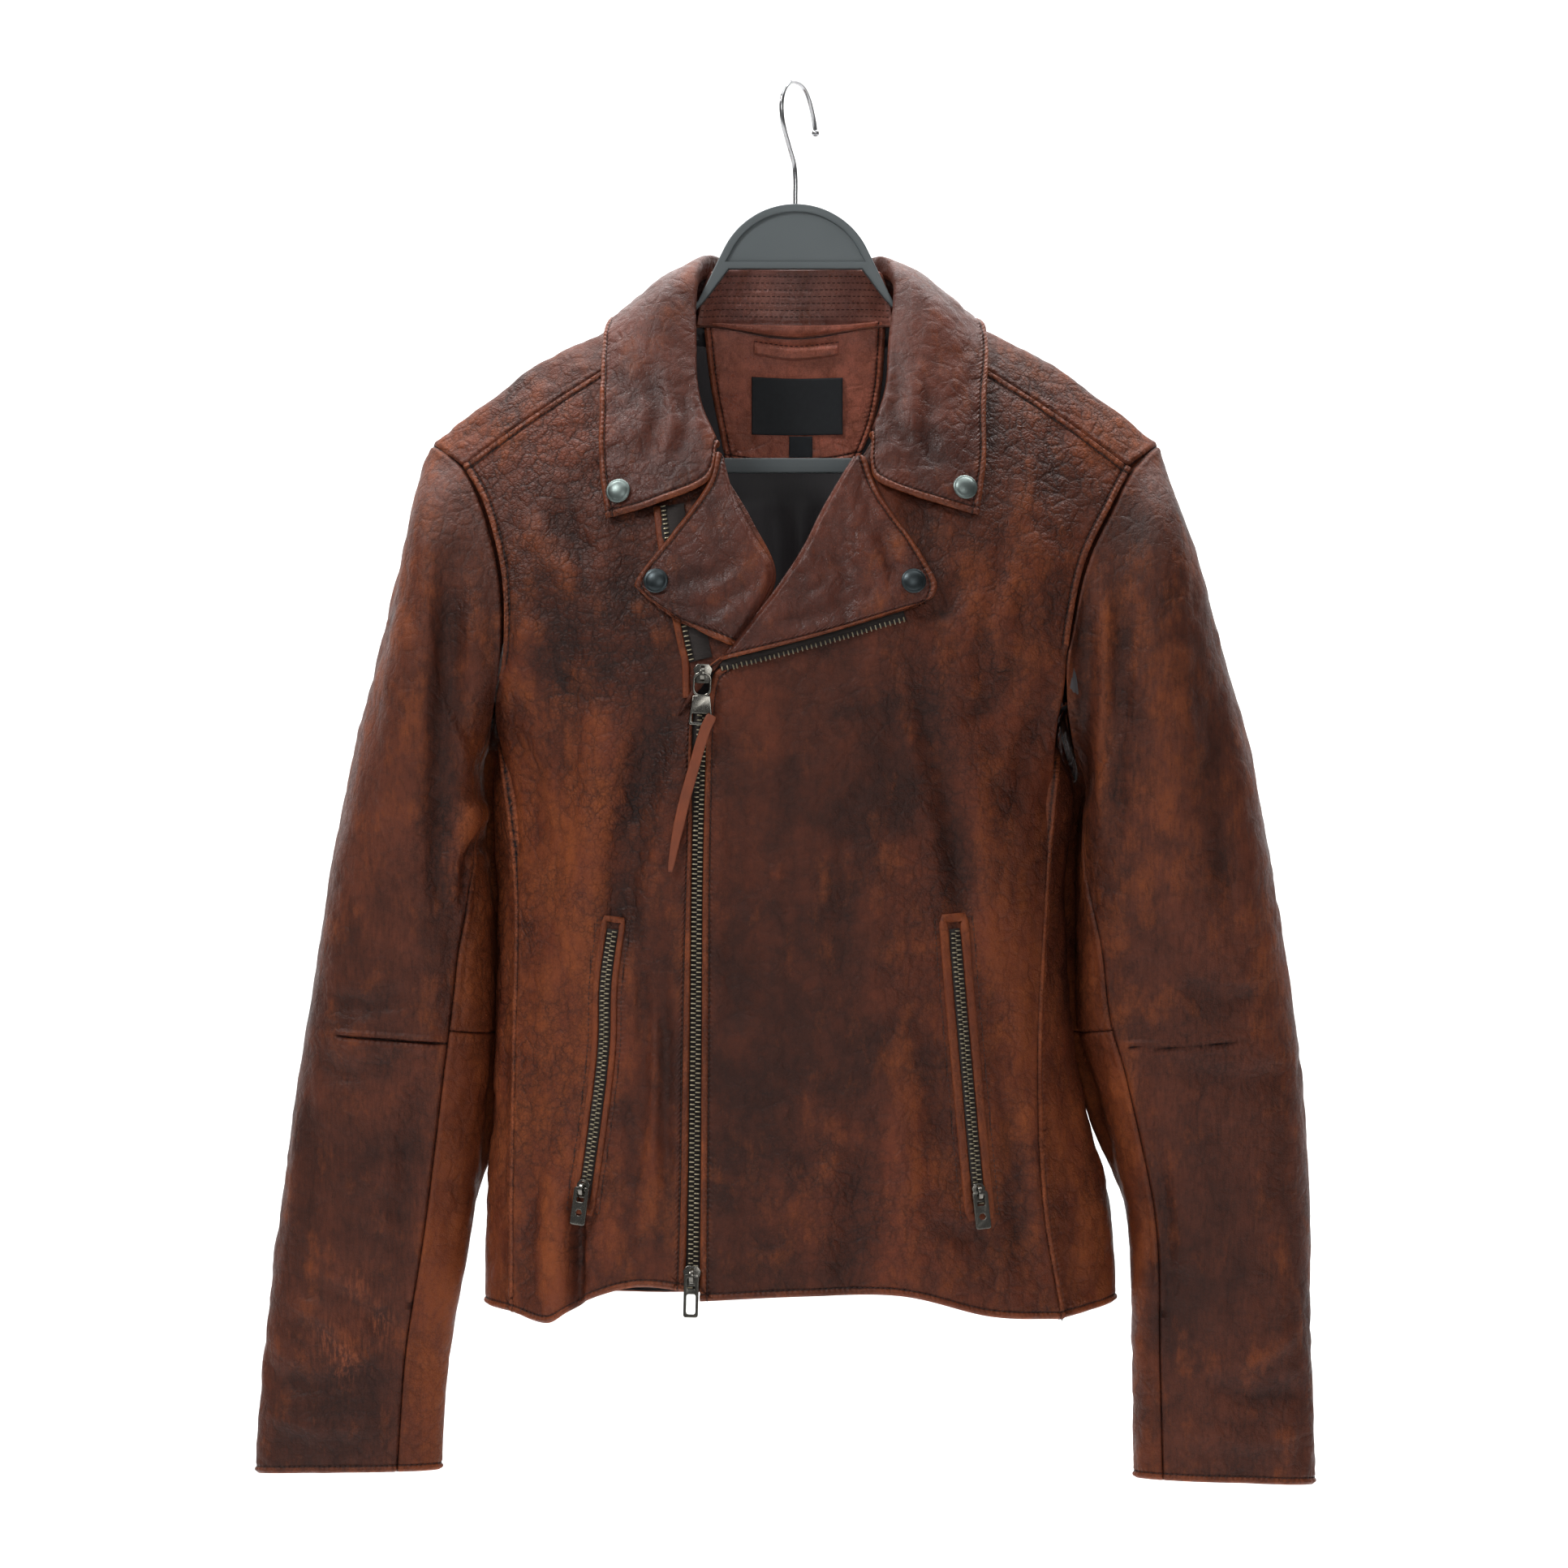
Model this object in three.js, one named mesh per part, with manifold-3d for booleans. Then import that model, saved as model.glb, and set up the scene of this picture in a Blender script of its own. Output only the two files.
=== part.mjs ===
// A worn leather jacket hanging on a plastic hanger. Millimetres, +Z up, -Y towards the viewer,
// origin under the crown of the hanger's hook. Names use the wearer's side: _r, _l.
import * as THREE from "three";
import Module from "manifold-3d";

const wasm = await Module();
wasm.setup();

// ---- driving dimensions ------------------------------------------------------------------
const LEATHER = 1.2; // one layer of garment leather
const FOLDED = 2.2; // collar and lapels: leather on leather
const CLOTH = 1.0; // lining, tapes and tags
const GAP = 0.3; // between pieces that meet at a seam
const DEPTH = 88; // hanger plane to the chest, and to the shoulder blades
const ROUND = 2.3; // exponent of the body's cross section: 2 is an ellipse
const CHEST_Z = -340; // above this height the cloth closes in to the shoulders
const SNAP_R = 7.5;
const HOOK_WIRE = 3;
const HANGER_T = 12;

// ---- curves and surfaces -----------------------------------------------------------------
const V = (x, y, z) => new THREE.Vector3(x, y, z);
const clamp = (t, a = 0, b = 1) => Math.min(b, Math.max(a, t));

// A smooth curve through [x, value] pairs, given in rising x.
function through(pairs) {
  const n = pairs.length - 1;
  const slope = (k) => {
    const a = pairs[Math.max(0, k - 1)], b = pairs[Math.min(n, k + 1)];
    return (b[1] - a[1]) / (b[0] - a[0]);
  };
  return (x) => {
    let i = 0;
    while (i < n - 1 && x > pairs[i + 1][0]) i++;
    const [x0, y0] = pairs[i], [x1, y1] = pairs[i + 1], h = x1 - x0;
    const t = clamp((x - x0) / h), s = 1 - t;
    return (
      y0 * (1 + 2 * t) * s * s + y1 * (3 - 2 * t) * t * t +
      h * (slope(i) * t * s * s - slope(i + 1) * t * t * s)
    );
  };
}

// A point at t (0 to 1) on the smooth curve through points; a closed one comes back to its start.
function at(points, t, closed = false) {
  const n = closed ? points.length : points.length - 1;
  const s = clamp(t) * n, i = Math.min(Math.floor(s), n - 1), u = s - i;
  const get = (k) => {
    if (closed) return points[(k + points.length) % points.length];
    if (k < 0) return points[0].clone().multiplyScalar(2).sub(points[1]);
    if (k > n) return points[n].clone().multiplyScalar(2).sub(points[n - 1]);
    return points[k];
  };
  const [a, b, c, d] = [get(i - 1), get(i), get(i + 1), get(i + 2)];
  const mix = (k) =>
    0.5 * (2 * b[k] + (c[k] - a[k]) * u + (2 * a[k] - 5 * b[k] + 4 * c[k] - d[k]) * u * u +
      (3 * b[k] - a[k] - 3 * c[k] + d[k]) * u * u * u);
  return V(mix("x"), mix("y"), mix("z"));
}

// A surface through rows of points: u runs along a row, v from the first row to the last.
const loft = (rows, closed = false) => (u, v) =>
  at(rows[0].map((_, j) => at(rows.map((r) => r[j]), v)), u, closed);

const gridOf = (surface, nu, nv, uOf = (u) => u, vOf = (v) => v) =>
  Array.from({ length: nv + 1 }, (_, j) =>
    Array.from({ length: nu + 1 }, (_, i) => surface(uOf(i / nu, j / nv), vOf(j / nv))));

// Normals of a grid of points, by the differences of its neighbours.
function normalsOf(grid) {
  const m = grid.length - 1, n = grid[0].length - 1;
  return grid.map((row, j) => row.map((_, i) => {
    const du = grid[j][Math.min(n, i + 1)].clone().sub(grid[j][Math.max(0, i - 1)]);
    const dv = grid[Math.min(m, j + 1)][i].clone().sub(grid[Math.max(0, j - 1)][i]);
    return du.cross(dv).normalize();
  }));
}

// The grid with its border moved in by d (out, if d is negative) along the cloth.
function inset(grid, d) {
  const m = grid.length - 1, n = grid[0].length - 1;
  const out = grid.map((row) => row.map((p) => p.clone()));
  const pull = (j, i, jj, ii) => {
    const step = grid[jj][ii].clone().sub(grid[j][i]);
    out[j][i].addScaledVector(step.normalize(), d);
  };
  for (let i = 0; i <= n; i++) pull(0, i, 1, i), pull(m, i, m - 1, i);
  for (let j = 0; j <= m; j++) pull(j, 0, j, 1), pull(j, n, j, n - 1);
  return out;
}

// A closed wall between the grid moved by `from` and by `to` along its normals.
function wall(grid, from, to) {
  const m = grid.length, n = grid[0].length, normals = normalsOf(grid);
  const points = [], faces = [];
  for (const off of [from, to])
    grid.forEach((row, j) => row.forEach((p, i) =>
      points.push(p.clone().addScaledVector(normals[j][i], off))));
  const id = (k, j, i) => k * m * n + j * n + i;
  const quad = (a, b, c, d) => faces.push([a, b, c], [a, c, d]);
  for (let j = 0; j < m - 1; j++)
    for (let i = 0; i < n - 1; i++) {
      quad(id(0, j, i), id(0, j, i + 1), id(0, j + 1, i + 1), id(0, j + 1, i));
      quad(id(1, j, i), id(1, j + 1, i), id(1, j + 1, i + 1), id(1, j, i + 1));
    }
  for (let i = 0; i < n - 1; i++) {
    quad(id(0, 0, i), id(1, 0, i), id(1, 0, i + 1), id(0, 0, i + 1));
    quad(id(0, m - 1, i), id(0, m - 1, i + 1), id(1, m - 1, i + 1), id(1, m - 1, i));
  }
  for (let j = 0; j < m - 1; j++) {
    quad(id(0, j, 0), id(0, j + 1, 0), id(1, j + 1, 0), id(1, j, 0));
    quad(id(0, j, n - 1), id(1, j, n - 1), id(1, j + 1, n - 1), id(0, j + 1, n - 1));
  }
  return solid(points, faces);
}

// ---- solids ------------------------------------------------------------------------------
function solid(points, faces) {
  let volume = 0;
  for (const [a, b, c] of faces)
    volume += points[a].dot(points[b].clone().cross(points[c]));
  const turned = volume < 0 ? faces.map(([a, b, c]) => [a, c, b]) : faces;
  return new wasm.Manifold(new wasm.Mesh({
    numProp: 3,
    vertProperties: Float32Array.from(points.flatMap((p) => [p.x, p.y, p.z])),
    triVerts: Uint32Array.from(turned.flat()),
  }));
}

// A three.js geometry as a solid.
function solidOf(geometry) {
  const g = geometry.index ? geometry.toNonIndexed() : geometry;
  const p = g.getAttribute("position"), ids = new Map(), points = [], faces = [];
  const id = (i) => {
    const q = V(p.getX(i), p.getY(i), p.getZ(i));
    const key = q.toArray().map((c) => Math.round(c * 1e4)).join(",");
    if (!ids.has(key)) ids.set(key, points.push(q) - 1);
    return ids.get(key);
  };
  for (let i = 0; i < p.count; i += 3) faces.push([id(i), id(i + 1), id(i + 2)]);
  return solid(points, faces.filter(([a, b, c]) => a !== b && b !== c && c !== a));
}

// The largest body left of a solid.
const largest = (s) => s.decompose().reduce((a, b) => (b.volume() > a.volume() ? b : a));
const less = (s, ...others) => largest(others.reduce((a, b) => a.subtract(b), s));

// ---- the garment's form ------------------------------------------------------------------
// Half widths of the body at a height, on the wearer's right (-X) and left (+X).
const halfRight = through([
  [-760, 190], [-668, 188.5], [-634, 187], [-573, 182.5], [-500, 181.5], [-468, 176.5],
  [-430, 179.5], [-402, 188], [-384, 196], [-356, 217], [-341, 225], [-313, 230], [-240, 240],
]);
const halfLeft = through([
  [-760, 198.5], [-669, 192], [-626, 179.5], [-576, 167.5], [-448, 166.5], [-417, 170],
  [-393, 182], [-375, 195], [-344, 208], [-313, 218], [-292, 228], [-240, 240],
]);
// Height of the shoulder ridge at a distance from the middle.
const ridge = through([
  [0, -118], [60, -127], [117, -152], [150, -169.5], [174, -182], [195, -194.5],
  [211, -207], [223.5, -222], [240, -250],
]);
// How deep the body hangs in front of the hanger's plane, down the front.
const hang = through([[-760, 1.02], [-640, 0.97], [-520, 0.96], [-400, 1.01], [-300, 1], [-100, 1]]);

function depth(x, z, shoulder) {
  const half = x < 0 ? halfRight(z) : halfLeft(z);
  const across = clamp(1 - Math.pow(Math.abs(x) / half, ROUND)) ** (1 / ROUND);
  const t = clamp((z - CHEST_Z) / (ridge(Math.abs(x)) - CHEST_Z));
  return DEPTH * hang(z) * across * clamp(1 - t ** shoulder) ** (1 / shoulder);
}
const f = (x, z) => V(x, -depth(x, z, 1.5), z); // a point on the front of the body
const b = (x, z) => V(x, depth(x, z, 1.8), z); // a point on its back
const toFront = (p) => f(p.x, p.z);
// The back between its two side folds lies on the body's form too.
function toBack(p) {
  if (p.y <= 0) return p;
  const share = Math.abs(p.x) / (p.x < 0 ? halfRight(p.z) : halfLeft(p.z));
  return p.clone().lerp(b(p.x, p.z), clamp((0.92 - share) / 0.1));
}

// A small patch of the front, given by rows of [x, z], moved out by its wall in layers.
const onFront = (rows) => {
  const flat = loft(rows.map((r) => r.map(([x, z]) => V(x, 0, z))));
  return (u, v) => toFront(flat(u, v));
};

const FRONT_R = [
  [[-204, -236], [-165, -208], [-122, -180], [-94, -163], [-70, -150]],
  [[-190, -262], [-155, -243], [-118, -222], [-90, -206], [-66, -190]],
  [[-179, -305], [-146, -285], [-112, -265], [-79, -249], [-48, -234]],
  [[-178, -350], [-142, -330], [-105, -310], [-66, -292], [-26, -272]],
  [[-184, -386], [-140, -372], [-98, -354], [-55, -335], [-12, -308]],
  [[-180, -412], [-142, -420], [-105, -406], [-72, -385], [-36, -346]],
  [[-172, -455], [-141, -458], [-112, -442], [-85, -420], [-61.5, -376]],
  [[-170, -520], [-142, -520], [-114, -510], [-89, -498], [-64, -472]],
  [[-172, -600], [-143, -600], [-116, -598], [-90, -594], [-65.5, -590]],
  [[-173, -680], [-144, -680], [-117, -676], [-91, -670], [-66.5, -668]],
  [[-173, -753], [-150, -758], [-128, -744], [-97, -735], [-68, -737]],
];
const FRONT_L = [
  [[206, -238], [165, -208], [122, -180], [94, -163], [70, -150]],
  [[193, -262], [157, -243], [118, -222], [88, -206], [63, -190]],
  [[177, -295], [142, -278], [106, -262], [71, -248], [39, -235]],
  [[168, -335], [128, -322], [88, -310], [48, -296], [9, -282]],
  [[164, -374], [120, -368], [75, -356], [28, -342], [-15, -326]],
  [[160, -398], [116, -405], [66, -400], [12, -385], [-41, -357]],
  [[157, -440], [118, -445], [70, -440], [12, -430], [-50.5, -376]],
  [[152, -520], [112, -520], [62, -512], [6, -500], [-54.5, -472]],
  [[148, -600], [106, -600], [58, -600], [4, -596], [-55.5, -590]],
  [[150, -680], [108, -680], [58, -676], [4, -670], [-56, -668]],
  [[162, -756], [118, -753], [64, -740], [6, -740], [-56.5, -743]],
];

// Rows of the back, seam to seam; below the armholes it comes round the sides to the front.
const side = (x, z) => V(x, 0, z);
const BACK = [
  [b(-206, -238), b(-150, -196), b(-100, -165), b(-64, -144), b(0, -153), b(64, -144),
    b(100, -165), b(150, -196), b(207, -240)],
  [b(-191, -268), b(-143, -246), b(-98, -228), b(-52, -218), b(0, -216), b(52, -218),
    b(98, -228), b(143, -246), b(191, -268)],
  [b(-181, -318), b(-137, -306), b(-95, -296), b(-48, -290), b(0, -288), b(48, -290),
    b(92, -296), b(132, -304), b(173, -312)],
  [b(-181, -362), b(-137, -362), b(-94, -360), b(-47, -358), b(0, -358), b(46, -358),
    b(88, -360), b(126, -360), b(166, -362)],
  [b(-186, -392), b(-156, -402), b(-110, -405), b(-55, -405), b(0, -405), b(50, -405),
    b(98, -405), b(136, -404), b(164, -398)],
  [f(-181, -411), side(-182.5, -421), b(-150, -440), b(-78, -446), b(0, -448), b(72, -446),
    b(138, -440), side(168, -432), f(160, -420)],
  [f(-171, -490), side(-181, -505), b(-155, -520), b(-82, -525), b(0, -525), b(76, -525),
    b(143, -520), side(166.8, -505), f(153, -495)],
  [f(-172, -600), side(-185, -604), b(-158, -608), b(-84, -610), b(0, -610), b(80, -610),
    b(148, -608), side(173.5, -604), f(148, -600)],
  [f(-173, -680), side(-188.8, -682), b(-162, -684), b(-86, -686), b(0, -686), b(88, -686),
    b(165, -684), side(193.6, -682), f(150, -680)],
  [f(-173, -753), side(-190, -750), b(-163, -748), b(-87, -750), b(0, -752), b(90, -750),
    b(170, -748), side(198.3, -748), f(162, -756)],
];

// The shoulder pieces: forward seam, ridge, back seam; from the neck out to the armhole.
const YOKE = [
  [[70, -150], [94, -163], [122, -180], [165, -208], [204, -236]],
  [[70, -139], [94, -151], [121, -166], [164, -191], [215, -228]],
  [[70, -130.5], [94, -141], [120, -153.5], [163, -176], [223.5, -222]],
  [[68, -137], [92, -150], [118, -165], [157, -188], [216, -229]],
  [[64, -144], [82, -154], [100, -165], [150, -196], [206, -238]],
];
const yoke = (s) => YOKE.map((row, j) => row.map(([x, z]) => {
  if (j === 2) return V(s * x, 0, z);
  return j < 2 ? f(s * x, z) : b(s * x, z);
}));

// ---- sleeves: a ring of twelve points, from the top round the front, the underarm and the back
const ARMHOLE_R = [
  V(-223.5, 0, -222), f(-204, -236), f(-190, -262), f(-179, -305), f(-178, -350), f(-184, -386),
  V(-189, 0, -409), b(-186, -392), b(-181, -350), b(-181, -310), b(-191, -268), b(-206, -238),
];
const ARMHOLE_L = [
  V(223.5, 0, -222), f(206, -238), f(193, -262), f(177, -295), f(168, -335), f(164, -374),
  V(172, 0, -428), b(164, -398), b(166, -362), b(173, -312), b(191, -268), b(207, -240),
];
// outer edge [x, z], inner edge [x, z], depth in front, depth behind
const RINGS_R = [
  [[-233, -250], [-193, -421], 62, 64],
  [[-246, -307], [-192, -438], 63, 65],
  [[-262, -377], [-191, -460], 60, 62],
  [[-275, -432], [-189, -488], 54, 58],
  [[-289, -498], [-186, -524], 47, 53],
  [[-299, -558], [-186, -572], 42, 48],
  [[-306.5, -610], [-189, -616], 38, 44],
  [[-317.5, -698], [-199, -700], 30, 36],
  [[-326, -780], [-213, -781], 23, 29],
  [[-333, -855], [-217.5, -853], 17, 23],
];
const RINGS_L = [
  [[234, -250], [176, -437], 62, 64],
  [[252, -305], [174, -452], 64, 65],
  [[272, -380], [172.5, -472], 61, 63],
  [[286, -440], [172, -498], 56, 60],
  [[297, -500], [172, -530], 50, 54],
  [[306, -558], [173.5, -576], 43, 49],
  [[312, -612], [185, -618], 39, 45],
  [[316, -698], [203.5, -700], 31, 37],
  [[317.5, -780], [207, -782], 24, 30],
  [[320, -862], [209, -858], 19, 26],
];
const CORNER = 0.86; // below 1, a sleeve's section is squarer than an ellipse
const ringOf = ([[xo, zo], [xi, zi], front, back]) =>
  Array.from({ length: 12 }, (_, j) => {
    const a = (j * Math.PI) / 6, c = Math.cos(a), s = Math.sin(a);
    const soft = (t) => Math.sign(t) * Math.abs(t) ** CORNER;
    return V((xo + xi) / 2 + ((xo - xi) / 2) * soft(c),
      -soft(s) * (s > 0 ? front : back), (zo + zi) / 2 + ((zo - zi) / 2) * soft(c));
  });
const sleeve = (armhole, rings) => loft([armhole, ...rings.map(ringOf)], true);

// Where the front and back sleeve seams run: share of a turn from the outer edge, down the arm.
const SEAMS = {
  r: { front: through([[0, 0.46], [0.35, 0.42], [0.55, 0.345], [1, 0.33]]),
    back: through([[0, 0.6], [0.5, 0.66], [1, 0.67]]), elbow: 0.63 },
  l: { front: through([[0, 0.46], [0.35, 0.43], [0.55, 0.375], [1, 0.365]]),
    back: through([[0, 0.6], [0.5, 0.66], [1, 0.67]]), elbow: 0.62 },
};
const START = 0.003; // of the sleeve's length, left for the armhole seam

// ---- building ----------------------------------------------------------------------------
const part = new THREE.Group();
const made = new Map();
const FINISH = {
  leather: { color: 0x57352a, roughness: 0.5 },
  lining: { color: 0x2a282b, roughness: 0.9 },
  tape: { color: 0x1f1c1b, roughness: 0.9 },
  metal: { color: 0x8a857c, roughness: 0.3, metalness: 1 },
  thong: { color: 0x8a4a28, roughness: 0.6 },
  plastic: { color: 0x586164, roughness: 0.5 },
};
function add(name, s, finish) {
  const mesh = s.getMesh(), g = new THREE.BufferGeometry();
  g.setAttribute("position", new THREE.BufferAttribute(mesh.vertProperties, 3));
  g.setIndex(new THREE.BufferAttribute(mesh.triVerts, 1));
  g.computeVertexNormals();
  const m = new THREE.Mesh(g, new THREE.MeshStandardMaterial(FINISH[finish]));
  m.name = name;
  part.add(m);
  made.set(name, s);
  return s;
}
const fatter = new Map(); // each panel's wall with the seam gap round it, to cut neighbours with
function panel(name, grid, from, to, finish, ...neighbours) {
  const plain = wall(inset(grid, GAP / 2), from, to), grow = GAP * Math.sign(to - from);
  const meets = (k) => plain.intersect(fatter.get(k)).volume() > 0.01;
  const s = less(plain, ...neighbours.filter(meets).map((k) => fatter.get(k)));
  fatter.set(name, wall(inset(grid, 0.1 - GAP / 2), from - grow, to + grow));
  return add(name, s, finish);
}

// `wall` follows the grid's own normals, so inwards is worked out once for each panel.
function inwards(grid, towards) {
  const j = grid.length >> 1, i = grid[0].length >> 1, n = normalsOf(grid)[j][i];
  return n.dot(towards.clone().sub(grid[j][i])) > 0 ? 1 : -1;
}
const MIDDLE = V(0, 0, -400);
function body(name, grid, ...neighbours) {
  panel(name, grid, 0, inwards(grid, MIDDLE) * LEATHER, "leather", ...neighbours);
}
body("front_r", gridOf(onFront(FRONT_R), 7, 16));
body("front_l", gridOf(onFront(FRONT_L), 8, 16));
const backGrid = gridOf(loft(BACK), 18, 15).map((row) => row.map(toBack));
body("back", backGrid, "front_r", "front_l");
body("yoke_r", gridOf(loft(yoke(-1)), 7, 6), "front_r", "back");
body("yoke_l", gridOf(loft(yoke(1)), 7, 6), "front_l", "back");

function sleevePieces(k, armhole, rings) {
  const tube = sleeve(armhole, rings), { front, back, elbow } = SEAMS[k];
  const centre = V((rings[5][0][0] + rings[5][1][0]) / 2, 0, rings[5][0][1]);
  const around = ["front_" + k, "back", "yoke_" + k];
  const piece = (name, nu, nv, left, right, top, end, ...others) => {
    const t = (v) => top + v * (end - top);
    const turn = (u, v) => {
      const a = left(t(v)) + u * (right(t(v)) - left(t(v)));
      return a < 0 ? a + 1 : a;
    };
    const grid = gridOf(tube, nu, nv, turn, t);
    panel(name, grid, 0, inwards(grid, centre) * LEATHER, "leather", ...around, ...others);
  };
  // The outer sleeve is one cut of leather, in two solids that part at the elbow's dart.
  const outer = ["sleeve_outer_top_" + k, "sleeve_outer_low_" + k];
  const upper = "sleeve_under_top_" + k;
  const outerBack = (t) => back(t) - 1;
  piece(outer[0], 12, 8, outerBack, front, START, elbow);
  piece(outer[1], 12, 5, outerBack, front, elbow, 1, outer[0]);
  piece(upper, 4, 8, front, back, START, elbow, ...outer);
  piece("sleeve_under_low_" + k, 4, 5, front, back, elbow, 1, ...outer, upper);
}
sleevePieces("r", ARMHOLE_R, RINGS_R);
sleevePieces("l", ARMHOLE_L, RINGS_L);

// ---- what lies on the front --------------------------------------------------------------
const outwards = (grid) => -inwards(grid, MIDDLE);
// A piece on the body's form between two heights above it.
function layer(name, grid, low, high, finish, ...neighbours) {
  const s = outwards(grid);
  return panel(name, grid, s * low, s * high, finish, ...neighbours);
}
const LAPEL_LOW = 3.1, LAPEL_TOP = LAPEL_LOW + FOLDED;
const LAPEL_R = [
  [[-48, -231], [-46, -231], [-44, -232]],
  [[-54, -252], [-46, -254], [-37, -257]],
  [[-74, -280], [-50, -281], [-25, -281]],
  [[-95, -307], [-55, -308], [-13, -304]],
  [[-93, -316], [-56, -326], [-23, -327]],
  [[-70, -332], [-54, -341], [-38, -348]],
];
const LAPEL_L = [
  [[35, -233], [38, -233], [42, -234]],
  [[17, -263], [35, -258], [52, -259]],
  [[5, -287], [38, -284], [72, -287]],
  [[-9, -309], [38, -307], [84, -308]],
  [[-25, -330], [30, -326], [83, -318]],
  [[-46, -357], [17, -341], [76, -322.5]],
];
layer("lapel_r", gridOf(onFront(LAPEL_R), 6, 9), LAPEL_LOW, LAPEL_TOP, "leather");
layer("lapel_l", gridOf(onFront(LAPEL_L), 8, 9), LAPEL_LOW, LAPEL_TOP, "leather", "lapel_r");

// ---- strips along a line of the front: [x, z] points, and a section of [sideways, out] -----
const facing = (x, z) => {
  const e = 0.5, p = f(x, z);
  const n = f(x + e, z).sub(f(x - e, z)).cross(f(x, z + e).sub(f(x, z - e))).normalize();
  return { p, n: n.y > 0 ? n.negate() : n };
};
function strip(path, section, steps) {
  const line = path.map(([x, z]) => V(x, 0, z)), points = [], faces = [];
  for (let k = 0; k <= steps; k++) {
    const t = k / steps, q = at(line, t);
    const along = at(line, Math.min(1, t + 0.01)).sub(at(line, Math.max(0, t - 0.01)));
    const { p, n } = facing(q.x, q.z);
    const across = along.cross(n).normalize();
    for (const [w, out] of section)
      points.push(p.clone().addScaledVector(across, w).addScaledVector(n, out));
  }
  const m = section.length, outline = section.map(([w, o]) => new THREE.Vector2(w, o));
  for (let k = 0; k < steps; k++)
    for (let i = 0; i < m; i++) {
      const j = (i + 1) % m, a = k * m, c = a + m;
      faces.push([a + i, a + j, c + j], [a + i, c + j, c + i]);
    }
  const end = steps * m, flip = THREE.ShapeUtils.isClockWise(outline);
  for (const [i, j, l] of THREE.ShapeUtils.triangulateShape(outline, []))
    faces.push(flip ? [i, j, l] : [i, l, j],
      flip ? [end + i, end + l, end + j] : [end + i, end + j, end + l]);
  return solid(points, faces);
}
const bar = (half, low, high) => [[-half, low], [half, low], [half, high], [-half, high]];
// tape with the row of teeth standing on it
const teeth = (tape, half, low, mid, high) => [
  [-tape, low], [tape, low], [tape, mid], [half, mid], [half, high], [-half, high], [-half, mid],
  [-tape, mid],
];

const ZIP = [[-56, -381], [-59.2, -472], [-60.4, -590], [-61.2, -668], [-62, -737]];
add("zip_main", strip(ZIP, teeth(13, 3, -2.8, -2, 1.3), 14), "tape");
add("zip_open_r",
  strip([[-61, -357], [-63.5, -346], [-69, -320], [-75, -290], [-78.5, -263]],
    teeth(6, 1.6, 0.5, 1.2, 2.5), 8), "tape");
add("zip_open_l", strip([[-45, -361.5], [17, -345], [66, -330.5]],
  teeth(3.2, 1.6, 0.5, 1.2, 2.5), 8), "tape");

// ---- pockets: a welted frame round a short zip ---------------------------------------------
const POCKETS = {
  r: { line: [[-110, -513], [-115, -552], [-116, -590], [-121, -634], [-129, -690]], half: 7.5,
    slider: [-127.3, -676] },
  l: { line: [[95.5, -512], [99, -555], [103, -600], [107, -645], [111.5, -692]], half: 9.3,
    slider: [109.8, -678] },
};
for (const [k, { line, half }] of Object.entries(POCKETS)) {
  const trim = (d) => [[line[0][0] + 0.1 * d, line[0][1] - d], ...line.slice(1, -1),
    [line.at(-1)[0] - 0.1 * d, line.at(-1)[1] + d]];
  const frame = strip(line, bar(half, 0.5, 2), 10);
  add("pocket_welt_" + k, less(frame, strip(trim(4), bar(3.6, -1, 4), 10)), "leather");
  add("pocket_zip_" + k, strip(trim(4.4), teeth(3.2, 1.9, 0.5, 0.9, 1.9), 10), "tape");
}

// ---- sliders and pulls ---------------------------------------------------------------------
const shapeOf = (points) => new THREE.Shape(points.map(([x, y]) => new THREE.Vector2(x, y)));
// Extrudes an outline with holes by `deep`, from 0 along +Z.
function extruded(outline, deep, ...holes) {
  const shape = shapeOf(outline);
  shape.holes = holes.map(shapeOf);
  return new THREE.ExtrudeGeometry(shape, { depth: deep, bevelEnabled: false });
}
const rect = (x0, z0, x1, z1, c) => [[x0 + c, z0], [x1 - c, z0], [x1, z0 + c], [x1, z1 - c],
  [x1 - c, z1], [x0 + c, z1], [x0, z1 - c], [x0, z0 + c]];
// Small metal is drawn lying flat: X across, Y up the zip, Z out of the cloth. `onto` lays it on
// the front at [x, z], `out` above it, turned by `lean`.
const matrixOnto = ([x, z], out, lean) => {
  const { p, n } = facing(x, z);
  const up = V(Math.sin(lean), 0, Math.cos(lean));
  const y = up.addScaledVector(n, -up.dot(n)).normalize();
  return new THREE.Matrix4().makeBasis(V().crossVectors(y, n), y, n)
    .setPosition(p.addScaledVector(n, out));
};
const onto = (s, place, out, lean) => s.transform(matrixOnto(place, out, lean).elements);

const BAR = 1.7; // thickness of a pull, which is a stamped plate
const BRIDGE = 2.6; // width of the bridge on a slider
const arch = (r, h) => Array.from({ length: 9 }, (_, i) => {
  const a = (i * Math.PI) / 8;
  return [r * Math.cos(a), h * Math.sin(a)];
});
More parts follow.
